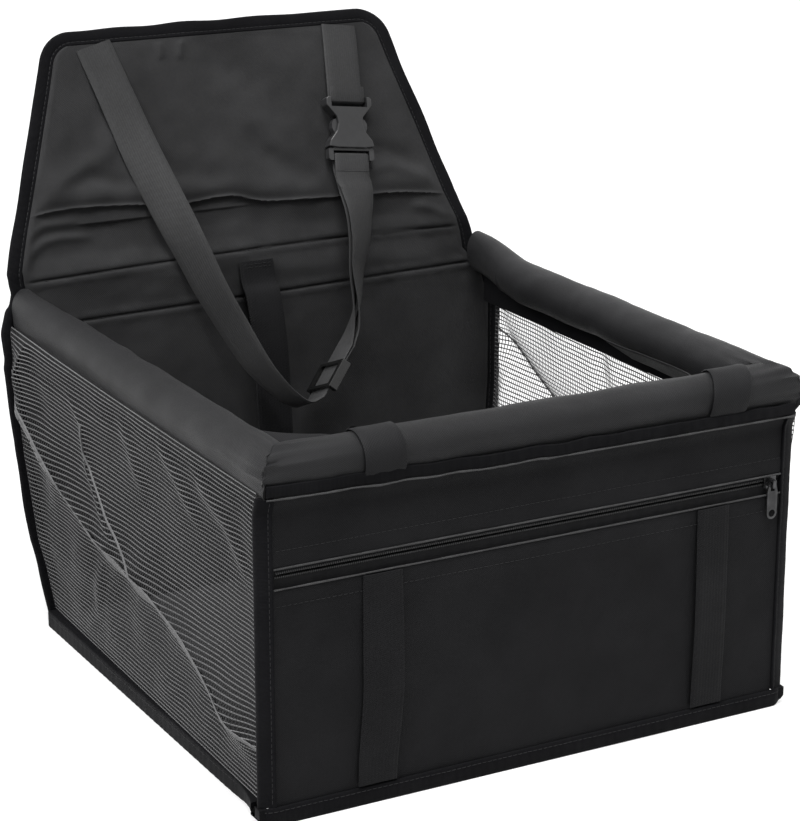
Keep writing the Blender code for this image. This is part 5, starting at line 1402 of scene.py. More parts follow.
    def corner_binding(self, side: Side) -> None:
        """Build the binding down a front corner.

        Args:
            side: Which side of the seat.
        """
        z = steps_between(BASE_BINDING_HEIGHT + GAP, WALL_TOP - GAP, BINDING_STEP)
        inner_x = np.full_like(z, side * (PANEL_HALF + GAP))
        lifted, forward = raised_seam(inner_x, z)
        inner = np.stack([spread_left(inner_x), FRONT_Y - forward, lifted], -1)
        outer = inner + np.array((side * math.sqrt(BINDING_WIDTH**2 - self.corner_turn**2), self.corner_turn, 0.0))
        rings, line = binding_rings(outer, inner, np.broadcast_to(FORWARD, inner.shape), 60 + side)
        self.seam.row(line, FORWARD)
        piece = Piece(f"front_{side.word}_corner", self.palette.binding, Slot.BINDING)
        piece.tube(rings).ride(Body.BOX, f"front_{side.word}_binding")

    def foot_binding(self) -> None:
        """Build the binding along the wall's foot."""
        outer_x = PANEL_HALF + GAP + BINDING_WIDTH
        inner_y = PANEL_FACE_Y + self.thickness + self.pocket_gap + COVER_HALF * 2
        front, lip, sill = FRONT_Y - BINDING_HALF, PANEL_FACE_Y - GAP, PANEL_FOOT - GAP
        top = BASE_BINDING_HEIGHT
        section = ((front + 0.0008, 0.0), (inner_y - 0.0008, 0.0), (inner_y, 0.0008), (inner_y, sill), (lip, sill))
        section += ((lip, top - 0.0006), (lip - 0.0005, top), (front + 0.0006, top), (front, top - 0.0008))
        section += ((front - 0.0001, top * 0.5), (front, 0.0012))
        x = steps_between(-outer_x, outer_x, BINDING_STEP)
        rings = run_across(spread_left(x), section)
        rings[:, 7:, 1] -= (stitch_waves(x, 5) + rumple(rings[:, 7], 0.05, 6) * 0.0004)[:, None]
        over = np.clip((np.abs(x) - outer_x + self.corner_round) / self.corner_round, 0, 1)
        back = self.corner_round * (1 - np.sqrt(1 - over**2 * 0.96))
        rings[..., 1] += back[:, None] * (rings[..., 1] < lip)
        rings[..., 2] += (back * (1 - rings[..., 2].T / top).clip(0, 1)).T * 0.55
        self.seam.row(np.stack([rings[:, 8, 0], rings[:, 8, 1] - 0.0001, np.full_like(x, top - 0.0026)], -1), FORWARD)
        piece = Piece("front_foot_binding", self.palette.binding, Slot.BINDING)
        piece.tube(rings).ride(Body.BOX, "front_bottom_binding")

    def welt(self) -> None:
        """Build the folded welt that covers the seam under the front sleeve."""
        half = PANEL_HALF + BINDING_WIDTH * 0.5
        front = FRONT_Y - self.welt_out
        low, high = WALL_TOP + GAP, WALL_TOP + GAP + self.welt_height
        section = rounded((front, low), (front + self.welt_thickness, high), self.welt_thickness * 0.45, 3)
        x = steps_between(-half, half, 0.0025)
        rings = run_across(spread_left(x), section)
        rings[..., 2] += np.interp(x, *zip(*SEAM_RISE))[:, None]
        ripple = np.sin(x * math.tau / 0.010 + rumple_along(x, 0.04, 56) * 2) * 0.00022
        upper = rings[..., 2] > (low + high) / 2
        rings[..., 2] += (rumple_along(x, 0.05, 55) * 0.0005)[:, None] * upper
        rings[..., 1] += (ripple + rumple_along(x, 0.07, 57) * 0.0003)[:, None] * upper
        edge = rings[:, np.argmin([z for _, z in section])] + np.array((0.0, -self.edge_roll * 0.5, 0.0))
        self.turned_edge_painted_highlight("rim_welt_edge", edge, 1, 58)
        Piece("rim_welt", self.palette.binding, Slot.BINDING).tube(rings).ride(Body.BOX)

    def build(self) -> None:
        """Build the whole wall."""
        self.lining()
        self.welt()
        self.panel("pocket_front", "pocket_panel", PANEL_FOOT, POCKET_TOP, self.pocket_folds, -1, 51)
        self.panel("header", "header_strip", HEADER_FOOT, WALL_TOP, (), 1, 52)
        self.band(Side.LEFT, 6.0, 53)
        self.band(Side.RIGHT, -1.0, 54)
        for side in Side:
            self.corner_binding(side)
        self.foot_binding()


@dataclass
class Zipper:
    """The pocket's zipper: two tapes, each with its half of the coil."""

    palette: Palette
    tape_face: float = PANEL_FACE_Y + 0.002 + GAP
    tape_thickness: float = 0.001
    tuck: float = 0.0048
    hidden_end: float = 0.0045
    slit: float = 0.0005
    coil_height: float = 0.0022
    coil_depth: float = 0.00105
    pitch: float = 0.0015
    wire: float = 0.00032

    def tape(self, half: Half) -> None:
        """Build one tape.

        Args:
            half: Which half of the zipper.
        """
        near = ZIPPER_Z + half * 0.0007
        far = (HEADER_FOOT + self.tuck) if half > 0 else (POCKET_TOP - self.tuck)
        reach = PANEL_HALF + self.hidden_end
        x, share = grid(steps_between(-reach, reach, 0.003), np.linspace(0, 1, 9))
        z = near + (far - near) * share
        z = z - half * 0.0006 * ease((np.abs(x) - PANEL_HALF + 0.004) / 0.004) * (1 - share)
        ripple = 0.0002 * np.sin(x * math.tau / 0.011 + rumple_along(x, 0.05, 70 + half) * 2) * np.sin(share * math.pi)
        outer = np.stack([x, self.tape_face + ripple, z], -1)
        inner = np.stack([x, np.full_like(x, self.tape_face + self.tape_thickness), z], -1)
        piece = Piece(f"{half.word}_tape", self.palette.tape, Slot.ZIPPER_TAPE)
        piece.shell(outer, inner, np.stack([z, x], -1)).ride(Body.BOX, f"{half.word}_zipper_tape")
        piece.sheet(2 * reach, abs(far - near), Held.STRETCHED, "pocket_front")

    def coil(self, half: Half) -> None:
        """Build one half of the coil, a loop for every tooth.

        Args:
            half: Which half of the zipper.
        """
        x = np.arange(-PANEL_HALF - 0.002, PANEL_HALF - 0.002, self.pitch) + (self.pitch / 2 if half > 0 else 0)
        deep = self.coil_depth - self.wire
        loop = ((0.0, self.coil_height, 0.1), (0.0, self.coil_height * 0.8, 0.75), (0.05, self.coil_height * 0.4, 1.0))
        loop += ((0.1, self.slit + 0.0004, 0.85), (0.2, self.slit + self.wire, 0.45), (0.3, self.slit + 0.0004, 0.1))
        spots = []
        for shift, z, rise in loop:
            y, height = np.full_like(x, self.tape_face - deep * rise), np.full_like(x, ZIPPER_Z + half * z)
            spots.append(np.stack([x + self.pitch * shift, y, height], -1))
        centres = np.stack(spots, 1)
        normals = np.broadcast_to((1.0, 0.0, 0.0), centres.shape)
        piece = Piece(f"{half.word}_coil", self.palette.coil, Slot.ZIPPER_TAPE)
        piece.strands(centres, normals, self.wire, self.wire * 1.35, 6).ride(Body.BOX)

    def build(self) -> None:
        """Build both halves."""
        for make in (self.tape, self.coil):
            for half in Half:
                make(half)


@dataclass
class SideWalls:
    """The openwork sides, creased by folding, with a hem tape inside each top edge."""

    palette: Palette
    foot: float = BASE_BINDING_HEIGHT + GAP
    front: float = FRONT_Y + BINDING_HALF + GAP + 0.0012
    row_pitch: float = 0.0030
    column_pitch: float = 0.0027
    rib: float = 0.00052
    link: float = 0.00040
    seam_rise: Points = ((0.0, 0.0108), (0.5, 0.0125), (0.8, 0.0160), (1.0, 0.0190))
    seam_out: Points = ((0.0, 0.0075), (0.3, 0.0090), (0.7, 0.0096), (1.0, 0.0096))
    hem_height: float = 0.012
    hem_rise: float = 0.012
    highlight_band_width: float = 0.016
    crease: float = 0.0010
    crease_points: int = 60
    sag: float = 0.0045
    left_folds: tuple[Fold, ...] = (
        Fold(LEFT_CREASE, 0.0150, 0.022, True, True),
        Fold(((0.186, 0.228), (0.197, 0.205), (0.207, 0.184)), 0.0050, 0.010, True, True),
        Fold(((-0.171, 0.040), (-0.089, 0.068), (-0.0006, 0.094), (0.065, 0.098), (0.150, 0.125)), -0.0030, 0.028),
        Fold(LEFT_BRANCH, 0.0042, 0.010, True),
        Fold(((0.026, 0.222), (0.004, 0.200), (-0.020, 0.165)), 0.0022, 0.008),
        Fold(((-0.040, 0.222), (-0.074, 0.2025), (-0.110, 0.170)), 0.0026, 0.007),
        Fold(((-0.091, 0.224), (-0.1165, 0.206), (-0.146, 0.192), (-0.185, 0.150)), 0.0028, 0.008),
        Fold(((0.070, 0.104), (0.082, 0.074), (0.0905, 0.047), (0.126, 0.016)), 0.0030, 0.009),
        Fold(((0.150, 0.20), (0.190, 0.175), (0.215, 0.150)), -0.0035, 0.016),
    )
    right_folds: tuple[Fold, ...] = (
        Fold(RIGHT_CREASE, 0.0105, 0.026, True, True),
        Fold(((-0.160, 0.055), (-0.040, 0.082), (0.090, 0.100), (0.170, 0.130)), -0.0050, 0.020),
        Fold(((0.060, 0.216), (0.040, 0.180), (0.010, 0.140)), 0.0030, 0.010),
        Fold(((-0.080, 0.216), (-0.110, 0.185), (-0.150, 0.160)), 0.0026, 0.009),
    )

    def surface(self, side: Side, y_share: Array, z: Array) -> Array:
        """Points on a wall.

        Args:
            side: Which wall.
            y_share: A share from the front binding to the back.
            z: Heights.

        Returns:
            World points.
        """
        rise = (z - self.foot) / (WALL_TOP - self.foot)
        z = z + np.interp(y_share, *zip(*self.seam_rise)) * rise
        rear_y = back_front_y(z, BINDING_HALF + GAP + 0.0012)
        y = self.front + (rear_y - self.front) * y_share
        up = z / math.cos(BACK_LEAN)
        rear_x = np.interp(up, *zip(*BACK_OUTLINE)) - BINDING_WIDTH / 2
        if side < 0:
            rear_x = rear_x - np.interp(up - BACK_LENGTH, *zip(*LEFT_SHIFT))
        free = ease(y_share / 0.08) * ease((1 - y_share) / 0.05) * ease(rise / 0.14) * ease((1 - rise) / 0.07)
        bow = fold_lift(self.left_folds if side < 0 else self.right_folds, y, z) - self.sag * np.sin(rise * math.pi)
        bow = bow + rumple(np.stack([y, z], -1), 0.07, 80 + side) * 0.0012
        corner = SIDE_X + (CORNER_OUT if side < 0 else 0.0)
        x = corner + (rear_x - corner) * y_share
        needed = SIDE_X + np.interp(y_share, *zip(*self.seam_out))
        x = x + np.maximum(needed - x, 0) * ease((rise - 0.66) / 0.28) + bow * free
        return np.stack([side * x, y, z], -1)

    def directions(self, side: Side, y_share: Array, z: Array) -> Array:
        """The wall's outward direction at its points.

        Args:
            side: Which wall.
            y_share: A share from the front binding to the back.
            z: Heights.

        Returns:
            A direction for each point.
        """
        nudge = 0.002
        along = self.surface(side, y_share + nudge, z) - self.surface(side, y_share - nudge, z)
        up = self.surface(side, y_share, z + nudge) - self.surface(side, y_share, z - nudge)
        return units(np.cross(along, up)) * side

    def wall(self, side: Side) -> None:
        """Build a wall's ribs and the links between them.

        Args:
            side: Which wall.
        """
        ribs = grid(np.linspace(0, 1, 150), steps_between(self.foot + 0.0006, WALL_TOP - 0.0006, self.row_pitch))
        links = grid(steps_between(self.foot, WALL_TOP, 0.0045), steps_between(0, 1, self.column_pitch / 0.40))[::-1]
        # Ribs take the lighter yarn, a painted highlight, and links the darker one, painted shade.
        for name, material, half, spots, nodes in (
            ("ribs", self.palette.yarn, self.rib, ribs, (f"{side.word}_mesh",)),
            ("links", self.palette.ground, self.link, links, ()),
        ):
            piece = Piece(f"{side.word}_wall_{name}", material, Slot.MESH)
            piece.strands(self.surface(side, *spots), self.directions(side, *spots), half, half * 0.8)
            piece.ride(Body.BOX, *nodes)

    def even_height(self, z: Array) -> Array:
        """A fold's heights before the wall's top is raised."""
        return z - np.interp(0.5, *zip(*self.seam_rise)) * (z - self.foot) / (WALL_TOP - self.foot)

    def creases(self, side: Side, lines: Sequence[Points]) -> None:
        """Build the yarn that is pressed double along a wall's sharpest folds, in a lighter colour that paints a
        highlight along them.

        Args:
            side: Which wall.
            lines: The folds' (depth, height) points.
        """
        paths = []
        for line in lines:
            y, z = spline(line, self.crease_points // (len(line) - 1))[: self.crease_points].T
            z = self.even_height(z)
            share = np.clip((y - self.front) / (back_front_y(z, BINDING_HALF) - self.front), 0, 1)
            paths.append((self.surface(side, share, z), self.directions(side, share, z)))
        least = min(len(path) for path, _ in paths)
        centres, normals = (np.stack([points[:least] for points in group]) for group in zip(*paths))
        piece = Piece(f"{side.word}_wall_creases", self.palette.crease, Slot.MESH)
        piece.strands(centres + normals * 0.0004, normals, self.crease, self.crease * 0.6, 6).ride(Body.BOX)

    def pressed(self, side: Side, line: Points) -> None:
        """Build the yarn that lies flat below a wall's long fold, in a grey that paints a highlight widening the fold's
        bright line.

        Args:
            side: Which wall.
            line: The fold's (depth, height) points.
        """
        y, z = spline(line, 12).T
        z = self.even_height(z)
        way = tangents(np.stack([y, z], -1))
        reach = self.highlight_band_width * np.sin(math.pi * np.linspace(0, 1, len(y))) ** 1.3 + 0.0003
        down = np.linspace(0, 1, 6)
        y = y[:, None] + (way[:, 1] * reach)[:, None] * down
        z = z[:, None] - (way[:, 0] * reach)[:, None] * down
        rear = back_front_y(z[:, -1], BINDING_HALF) - 0.004
        inside = (z[:, -1] > self.foot + 0.002) & (y[:, 0] > self.front + 0.004) & (y[:, -1] < rear)
        y, z = y[inside], z[inside]
        share = (y - self.front) / (back_front_y(z, BINDING_HALF + GAP + 0.0012) - self.front)
        points, flat = self.surface(side, share, z), self.directions(side, share, z) * self.rib
        piece = Piece(f"{side.word}_wall_pressed_yarn", self.palette.pressed, Slot.MESH)
        piece.shell(points + flat * 1.3, points + flat * 0.3, np.stack([y, z], -1)).ride(Body.BOX)

    def hem(self, side: Side) -> None:
        """Build the tape inside a wall's top edge.

        Args:
            side: Which wall.
        """
        low = WALL_TOP - self.hem_height
        front = PANEL_FACE_Y + 0.006 + COVER_HALF * 2 + GAP
        share, z = grid(np.linspace(0, 1, 90), steps_between(low, WALL_TOP, 0.0034))
        y = front + (back_front_y(np.full_like(z, low), COVER_HALF) - GAP - front) * share
        x = SIDE_X - 0.0006 - GAP - 0.0003 + rumple(np.stack([y, z], -1), 0.04, 90 + side) * 0.0002
        raised = z + self.hem_rise * ease((share - 0.55) / 0.4) * (z - low) / self.hem_height
        outer, inner = (np.stack([side * place_x, y, raised], -1) for place_x in (x, x - 0.001))
        piece = Piece(f"{side.word}_hem_tape", self.palette.binding, Slot.BINDING)
        piece.shell(outer, inner, np.stack([z, y], -1)).ride(Body.BOX, f"{side.word}_hem")

    def build(self) -> None:
        """Build both walls."""
        for side in Side:
            self.wall(side)
        self.creases(Side.LEFT, (self.left_folds[0].line, YARN_BRANCH))
        self.creases(Side.RIGHT, (self.right_folds[0].line,))
        self.pressed(Side.LEFT, self.left_folds[0].line)
        for side in Side:
            self.hem(side)


@dataclass
class Base:
    """The padded floor and the bindings round its foot."""

    palette: Palette
    seam: Seam
    half: float = SIDE_X - 0.0058 - GAP
    thickness: float = 0.012
    front: float = PANEL_FACE_Y + 0.006 + COVER_HALF * 2 + GAP
    rear: float = float(back_front_y(np.array(0.0), COVER_HALF)) - GAP
    edge_round: float = 0.0013
    seam_drop: float = 0.0028

    def pad(self) -> None:
        """Build the padded floor, puffed up between its edge seam."""
        x, y = grid(steps_between(-self.half, self.half, 0.0065), steps_between(self.front, self.rear, 0.0065))
        share_x, share_y = (x + self.half) / (2 * self.half), (y - self.front) / (self.rear - self.front)
        inset = 1 - border_fade((share_x, share_y), 0.03)
        height = self.thickness - 0.0015 - 0.0020 * inset
        top = np.stack([x, y + share_y * height * math.tan(BACK_LEAN), height], -1)
        foot = np.stack([x, y, 0.0004 + 0.003 * inset], -1)
        piece = Piece("floor_pad", self.palette.cloth, Slot.CLOTH).shell(top, foot, np.stack([x, y], -1))
        edge = (inset > 0.55).ravel().astype(float)
        inflate(piece, np.concatenate([edge, np.ones(x.size)]), pressure=2.5, cap=0.0045)
        piece.ride(Body.BOX, "floor_cover")

    def side_binding(self, side: Side) -> None:
        """Build the binding along a side of the floor.

        Args:
            side: Which side of the seat.
        """
        y = steps_between(self.front, self.rear, BINDING_STEP)
        face = SIDE_X + 2 * BINDING_HALF
        section = rounded((self.half + GAP, 0.0), (face, BASE_BINDING_HEIGHT), self.edge_round)
        rings = np.stack([np.stack([np.full_like(y, side * x), y, np.full_like(y, z)], -1) for x, z in section], 1)
        wave = stitch_waves(y, 8)
        outer = rings[..., 0] * side > SIDE_X
        reach = np.exp(-(y - self.front) / 0.006) * 0.0022
        rings[..., 0] += side * outer * (wave + reach)[:, None]
        sag = np.exp(-(((y - self.front) / 0.020) ** 2)) * (CORNER_OUT if side < 0 else 0.0)
        rings[..., 0] += side * outer * sag[:, None]
        lifted = 0.0062 * np.exp(-(((y - self.front) / 0.024) ** 2))[:, None]
        rings[..., 2] += lifted * (1 - rings[..., 2] / BASE_BINDING_HEIGHT)
        line = np.stack([side * (face + wave), y, np.full_like(y, BASE_BINDING_HEIGHT - self.seam_drop)], -1)
        self.seam.row(line, (float(side), 0.0, 0.0))
        piece = Piece(f"{side.word}_foot_binding", self.palette.binding, Slot.BINDING)
        piece.tube(rings).ride(Body.BOX, f"{side.word}_base_binding")

    def rear_binding(self) -> None:
        """Build the binding along the floor's rear."""
        face = float(back_front_y(np.array(BASE_BINDING_HEIGHT), -COVER_HALF)) + GAP
        half = BACK_OUTLINE[0][1] - BINDING_WIDTH - GAP
        x = steps_between(-half, half, BINDING_STEP)
        section = rounded((face, 0.0), (face + 2 * BINDING_HALF, BASE_BINDING_HEIGHT), self.edge_round)
        rings = run_across(x, section)
        wave = stitch_waves(x, 9)
        rings[..., 1] += (rings[..., 1] > face + BINDING_HALF) * wave[:, None]
        line = np.stack([x, face + 2 * BINDING_HALF + wave, np.full_like(x, BASE_BINDING_HEIGHT - self.seam_drop)], -1)
        self.seam.row(line, (0.0, 1.0, 0.0))
        Piece("rear_foot_binding", self.palette.binding, Slot.BINDING).tube(rings).ride(Body.BOX, "rear_base_binding")

    def build(self) -> None:
        """Build the floor."""
        self.pad()
        for side in Side:
            self.side_binding(side)
        self.rear_binding()


def flap_edge(inset: float) -> Array:
    """The flap's outline from its left foot over the top to its right, moved in by an inset.

    Args:
        inset: How far in.

    Returns:
        (across, up) points.
    """
    run = FLAP_BOTTOM_HALF - FLAP_TOP_HALF
    shift = inset * math.hypot(run, FLAP_HEIGHT) / FLAP_HEIGHT
    top, corner, bottom = FLAP_HEIGHT - inset, FLAP_CORNER - inset, FLAP_BOTTOM_HALF - shift
    turn = math.atan2(FLAP_HEIGHT, run)
    centre = bottom - run / FLAP_HEIGHT * top - corner / math.tan((math.pi - turn) / 2)
    turns = np.linspace(math.atan(run / FLAP_HEIGHT), math.pi / 2, 13)
    arc = np.stack([centre + corner * np.cos(turns), top - corner + corner * np.sin(turns)], -1)
    right = np.vstack([[(bottom, 0.0)], arc])
    return np.vstack([right * (-1, 1), right[::-1]])


def lining_half(along: Array) -> Array:
    """Half the lining's width at a distance up from the hinge, between its bindings.

    Args:
        along: Distances up from the hinge, negative below it.

    Returns:
        Half widths.
    """
    right = flap_edge(BINDING_WIDTH - UNDERLAP)
    right = right[right[:, 0] > 0][::-1]
    up = np.interp(along, right[:, 1], right[:, 0])
    low = np.interp(along + BACK_LENGTH, *zip(*BACK_OUTLINE)) - BINDING_WIDTH - GAP
    return np.where(along < 0, low, up)


def lopsided(across: Array, along: Array) -> Array:
    """How far the back's and the flap's cloth hangs to the left of its even outline.

    Args:
        across: Distance to the right.
        along: Distance up from the hinge.

    Returns:
        Shifts to the right, so mostly negative.
    """
    share = np.clip(0.5 + across / (2 * SIDE_X), 0, 1)
    left, right = (np.interp(along, *zip(*shift)) for shift in (LEFT_SHIFT, RIGHT_SHIFT))
    return left * (1 - share) + right * share


@dataclass
class BackAndFlap:
    """The back panel and the flap above it: one lining over both, bound all round."""

    palette: Palette
    turn_from: Triple = (0.0, 0.220, 0.262)
    turn_to: Triple = (0.0, 0.236, 0.304)
    front: float = 0.0036
    rear: float = 0.0035
    board_foot: float = 0.0312
    groove: float = 0.0011
    groove_width: float = 0.0009
    pucker: float = 0.0005
    rows_of_stitching: tuple[Points, ...] = (
        ((-0.185, 0.2675), (-0.101, 0.2698), (0.008, 0.2718), (0.100, 0.2722), (0.186, 0.2700)),
        ((-0.196, 0.2335), (-0.121, 0.2341), (0.014, 0.2360), (0.110, 0.2382), (0.196, 0.2396)),
    )
    press_line: PressLine = PressLine(
        ((-0.200, 0.026), (-0.185, 0.038), (-0.150, 0.0432), (-0.097, 0.0413), (-0.058, 0.0371))
        + ((-0.012, 0.0396), (0.017, 0.0324), (0.061, 0.0298), (0.140, 0.0265), (0.190, 0.020))
    )
    folds: tuple[Fold, ...] = (
        Fold(((-0.199, 0.000), (-0.169, 0.0204), (-0.154, 0.0226), (-0.120, 0.020)), 0.0022, 0.004),
        Fold(((-0.195, 0.0196), (-0.1666, 0.0327), (-0.128, 0.0323)), 0.0020, 0.004),
        Fold(((-0.010, 0.149), (-0.0015, 0.128), (0.011, 0.113), (0.0305, 0.0786), (0.053, 0.048)), 0.0022, 0.010),
        Fold(((0.008, 0.097), (0.025, 0.071), (0.054, 0.052), (0.080, 0.045)), -0.0030, 0.009),
        Fold(((-0.171, 0.0535), (-0.140, 0.068), (-0.108, 0.084), (-0.100, 0.113)), 0.0026, 0.008),
        Fold(((-0.158, 0.056), (-0.126, 0.066), (-0.106, 0.060), (-0.080, 0.055)), -0.0024, 0.007),
        Fold(((-0.080, 0.070), (-0.062, 0.072), (-0.051, 0.061), (-0.022, 0.056), (0.0, 0.058)), -0.0024, 0.008),
        Fold(((-0.0525, 0.1690), (-0.0528, 0.162), (-0.053, 0.1500)), 0.0014, 0.003),
        Fold(((-0.033, 0.1690), (-0.035, 0.161), (-0.038, 0.1490)), 0.0014, 0.003),
        Fold(((0.095, 0.046), (0.138, 0.050), (0.161, 0.039), (0.180, 0.030)), 0.0022, 0.006),
        Fold(((0.095, 0.064), (0.136, 0.062), (0.154, 0.050), (0.172, 0.044)), -0.0022, 0.007),
        Fold(((0.148, 0.017), (0.172, 0.009), (0.190, 0.000)), 0.0018, 0.004),
        Fold(((-0.150, -0.075), (-0.060, -0.090), (0.060, -0.082), (0.150, -0.100)), 0.0014, 0.030),
        Fold(((-0.120, -0.160), (0.0, -0.140), (0.120, -0.165)), 0.0012, 0.035),
    )

    def lift(self, across: Array, along: Array) -> Array:
        """How far the front cloth stands off its even face.

        Args:
            across: Distance to the right.
            along: Distance up from the hinge.

        Returns:
            Heights in metres.
        """
        share = np.abs(across) / lining_half(along)
        free = ease((1 - share) / 0.06) * ease((FLAP_HEIGHT - BINDING_WIDTH - along) / 0.006)
        spots = np.stack([across, along], -1)
        lift = fold_lift(self.folds, across, along) + self.press_line.lift(across, along)
        lift = lift + rumple(spots, 0.075, 11) * 0.0005 + rumple(spots, 0.022, 13) * 0.00022
        for line in self.rows_of_stitching:
            gap = along - (np.interp(across, *zip(*line)) - BACK_LENGTH)
            uneven = 1 + rumple(np.stack([across, across * 0.2], -1), 0.012, 18) * 0.6
            lift = lift - self.groove * np.exp(-((gap / self.groove_width) ** 2))
            lift = lift + self.pucker * uneven * np.exp(-(((np.abs(gap) - 0.0035) / 0.0028) ** 2))
        return lift * free

    def lining(self) -> None:
        """Build the lining from the floor to the flap's top, meshed finest at its creases."""
        top = FLAP_HEIGHT - BINDING_WIDTH - GAP
        ends = (PANEL_FOOT - BACK_LENGTH, -0.062, -0.046, 0.002, 0.020, 0.050, 0.075, top - 0.02, top - 0.004)
        ends += (top - 0.0006, top)
        fineness = (0.006, 0.0018, 0.0008, 0.0015, 0.0007, 0.0015, 0.003, 0.0015, 0.0004, 0.0001)
        rows = [steps_between(*span)[:-1] for span in zip(ends, ends[1:], fineness)]
        share, along = grid(np.linspace(-1, 1, 141), np.concatenate([*rows, [top]]))
        across = share * lining_half(along)
        inset = 1 - np.abs(share)
        round_edge = 0.0012 * (1 - ease(inset / 0.012))
        flat = np.stack([across, along], -1)
        rear_lift = rumple(flat, 0.08, 12) * 0.0006 * ease(inset / 0.05)
        wide = across + lopsided(across, along)
        least = 0.0019 - 0.0031 * ease((along + 0.046) / 0.004) * ease((self.board_foot - along) / 0.002)
        out = np.maximum(self.front + self.lift(across, along), least)
        front = over_hinge(wide, along, out - round_edge)
        back = over_hinge(wide, along, -self.rear + round_edge - rear_lift)
        piece = Piece("back_lining", self.palette.cloth, Slot.CLOTH).shell(front, back, flat)
        piece.bend(Body.BOX, Body.FLAP, self.turn_from, self.turn_to, "back_cover", "flap_cover")

    def stitching(self) -> None:
        """Sew the two rows across the back below the flap."""
        seam = Seam(0.0026, 0.0038, 0.0005)
        for line in self.rows_of_stitching:
            across = steps_between(line[0][0], line[-1][0], 0.003)
            along = np.interp(across, *zip(*line)) - BACK_LENGTH
            seam.row(over_hinge(across, along, self.front + self.lift(across, along)), BACK[:, 2])
        seam.sew("back_stitching", self.palette.thread).bend(Body.BOX, Body.FLAP, self.turn_from, self.turn_to)

    def binding(self) -> None:
        """Build the binding from the left foot over the flap's top to the right foot."""
        heights = steps_between(PANEL_FOOT, BACK_LENGTH - 0.002, 0.0024)
        side = np.stack([np.interp(heights, *zip(*BACK_OUTLINE)), heights - BACK_LENGTH], -1)
        outlines = []
        for inset in (0, BINDING_WIDTH):
            moved = side - (inset, 0)
            outlines.append(np.vstack([moved * (-1, 1), flap_edge(inset), moved[::-1]]))
        length = distances(sum(outlines) / 2)
        spots = steps_between(0, length[-1], BINDING_STEP)
        outer, inner = (sample(spots, length, line) for line in outlines)
        for line in (outer, inner):
            line[:, 0] += lopsided(line[:, 0], line[:, 1])
        outer = outer + units(outer - inner) * rumple(outer, 0.06, 14)[:, None] * 0.0006
        places = [over_hinge(*line.T, 0.0) for line in (outer, inner)]
        faces = units(over_hinge(*outer.T, 0.001) - places[0])
        rings, line = binding_rings(*places, faces, 15, STITCH_PUCKER)
        piece = Piece("back_edge_binding", self.palette.binding, Slot.BINDING).tube(rings)
        nodes = ("rear_left_binding", "rear_right_binding", "flap_binding")
        piece.bend(Body.BOX, Body.FLAP, self.turn_from, self.turn_to, *nodes)
        seam = Seam()
        seam.row(line, faces)
        seam.sew("back_edge_stitches", self.palette.thread).bend(Body.BOX, Body.FLAP, self.turn_from, self.turn_to)

    def build(self) -> None:
        """Build the back and the flap."""
        self.lining()
        self.stitching()
        self.binding()


def turned(degrees: Array) -> Array:
    """Width directions turned from across towards out of the flap."""
    turn = np.radians(degrees)
    return np.stack([np.cos(turn), np.zeros_like(turn), np.sin(turn)], -1)


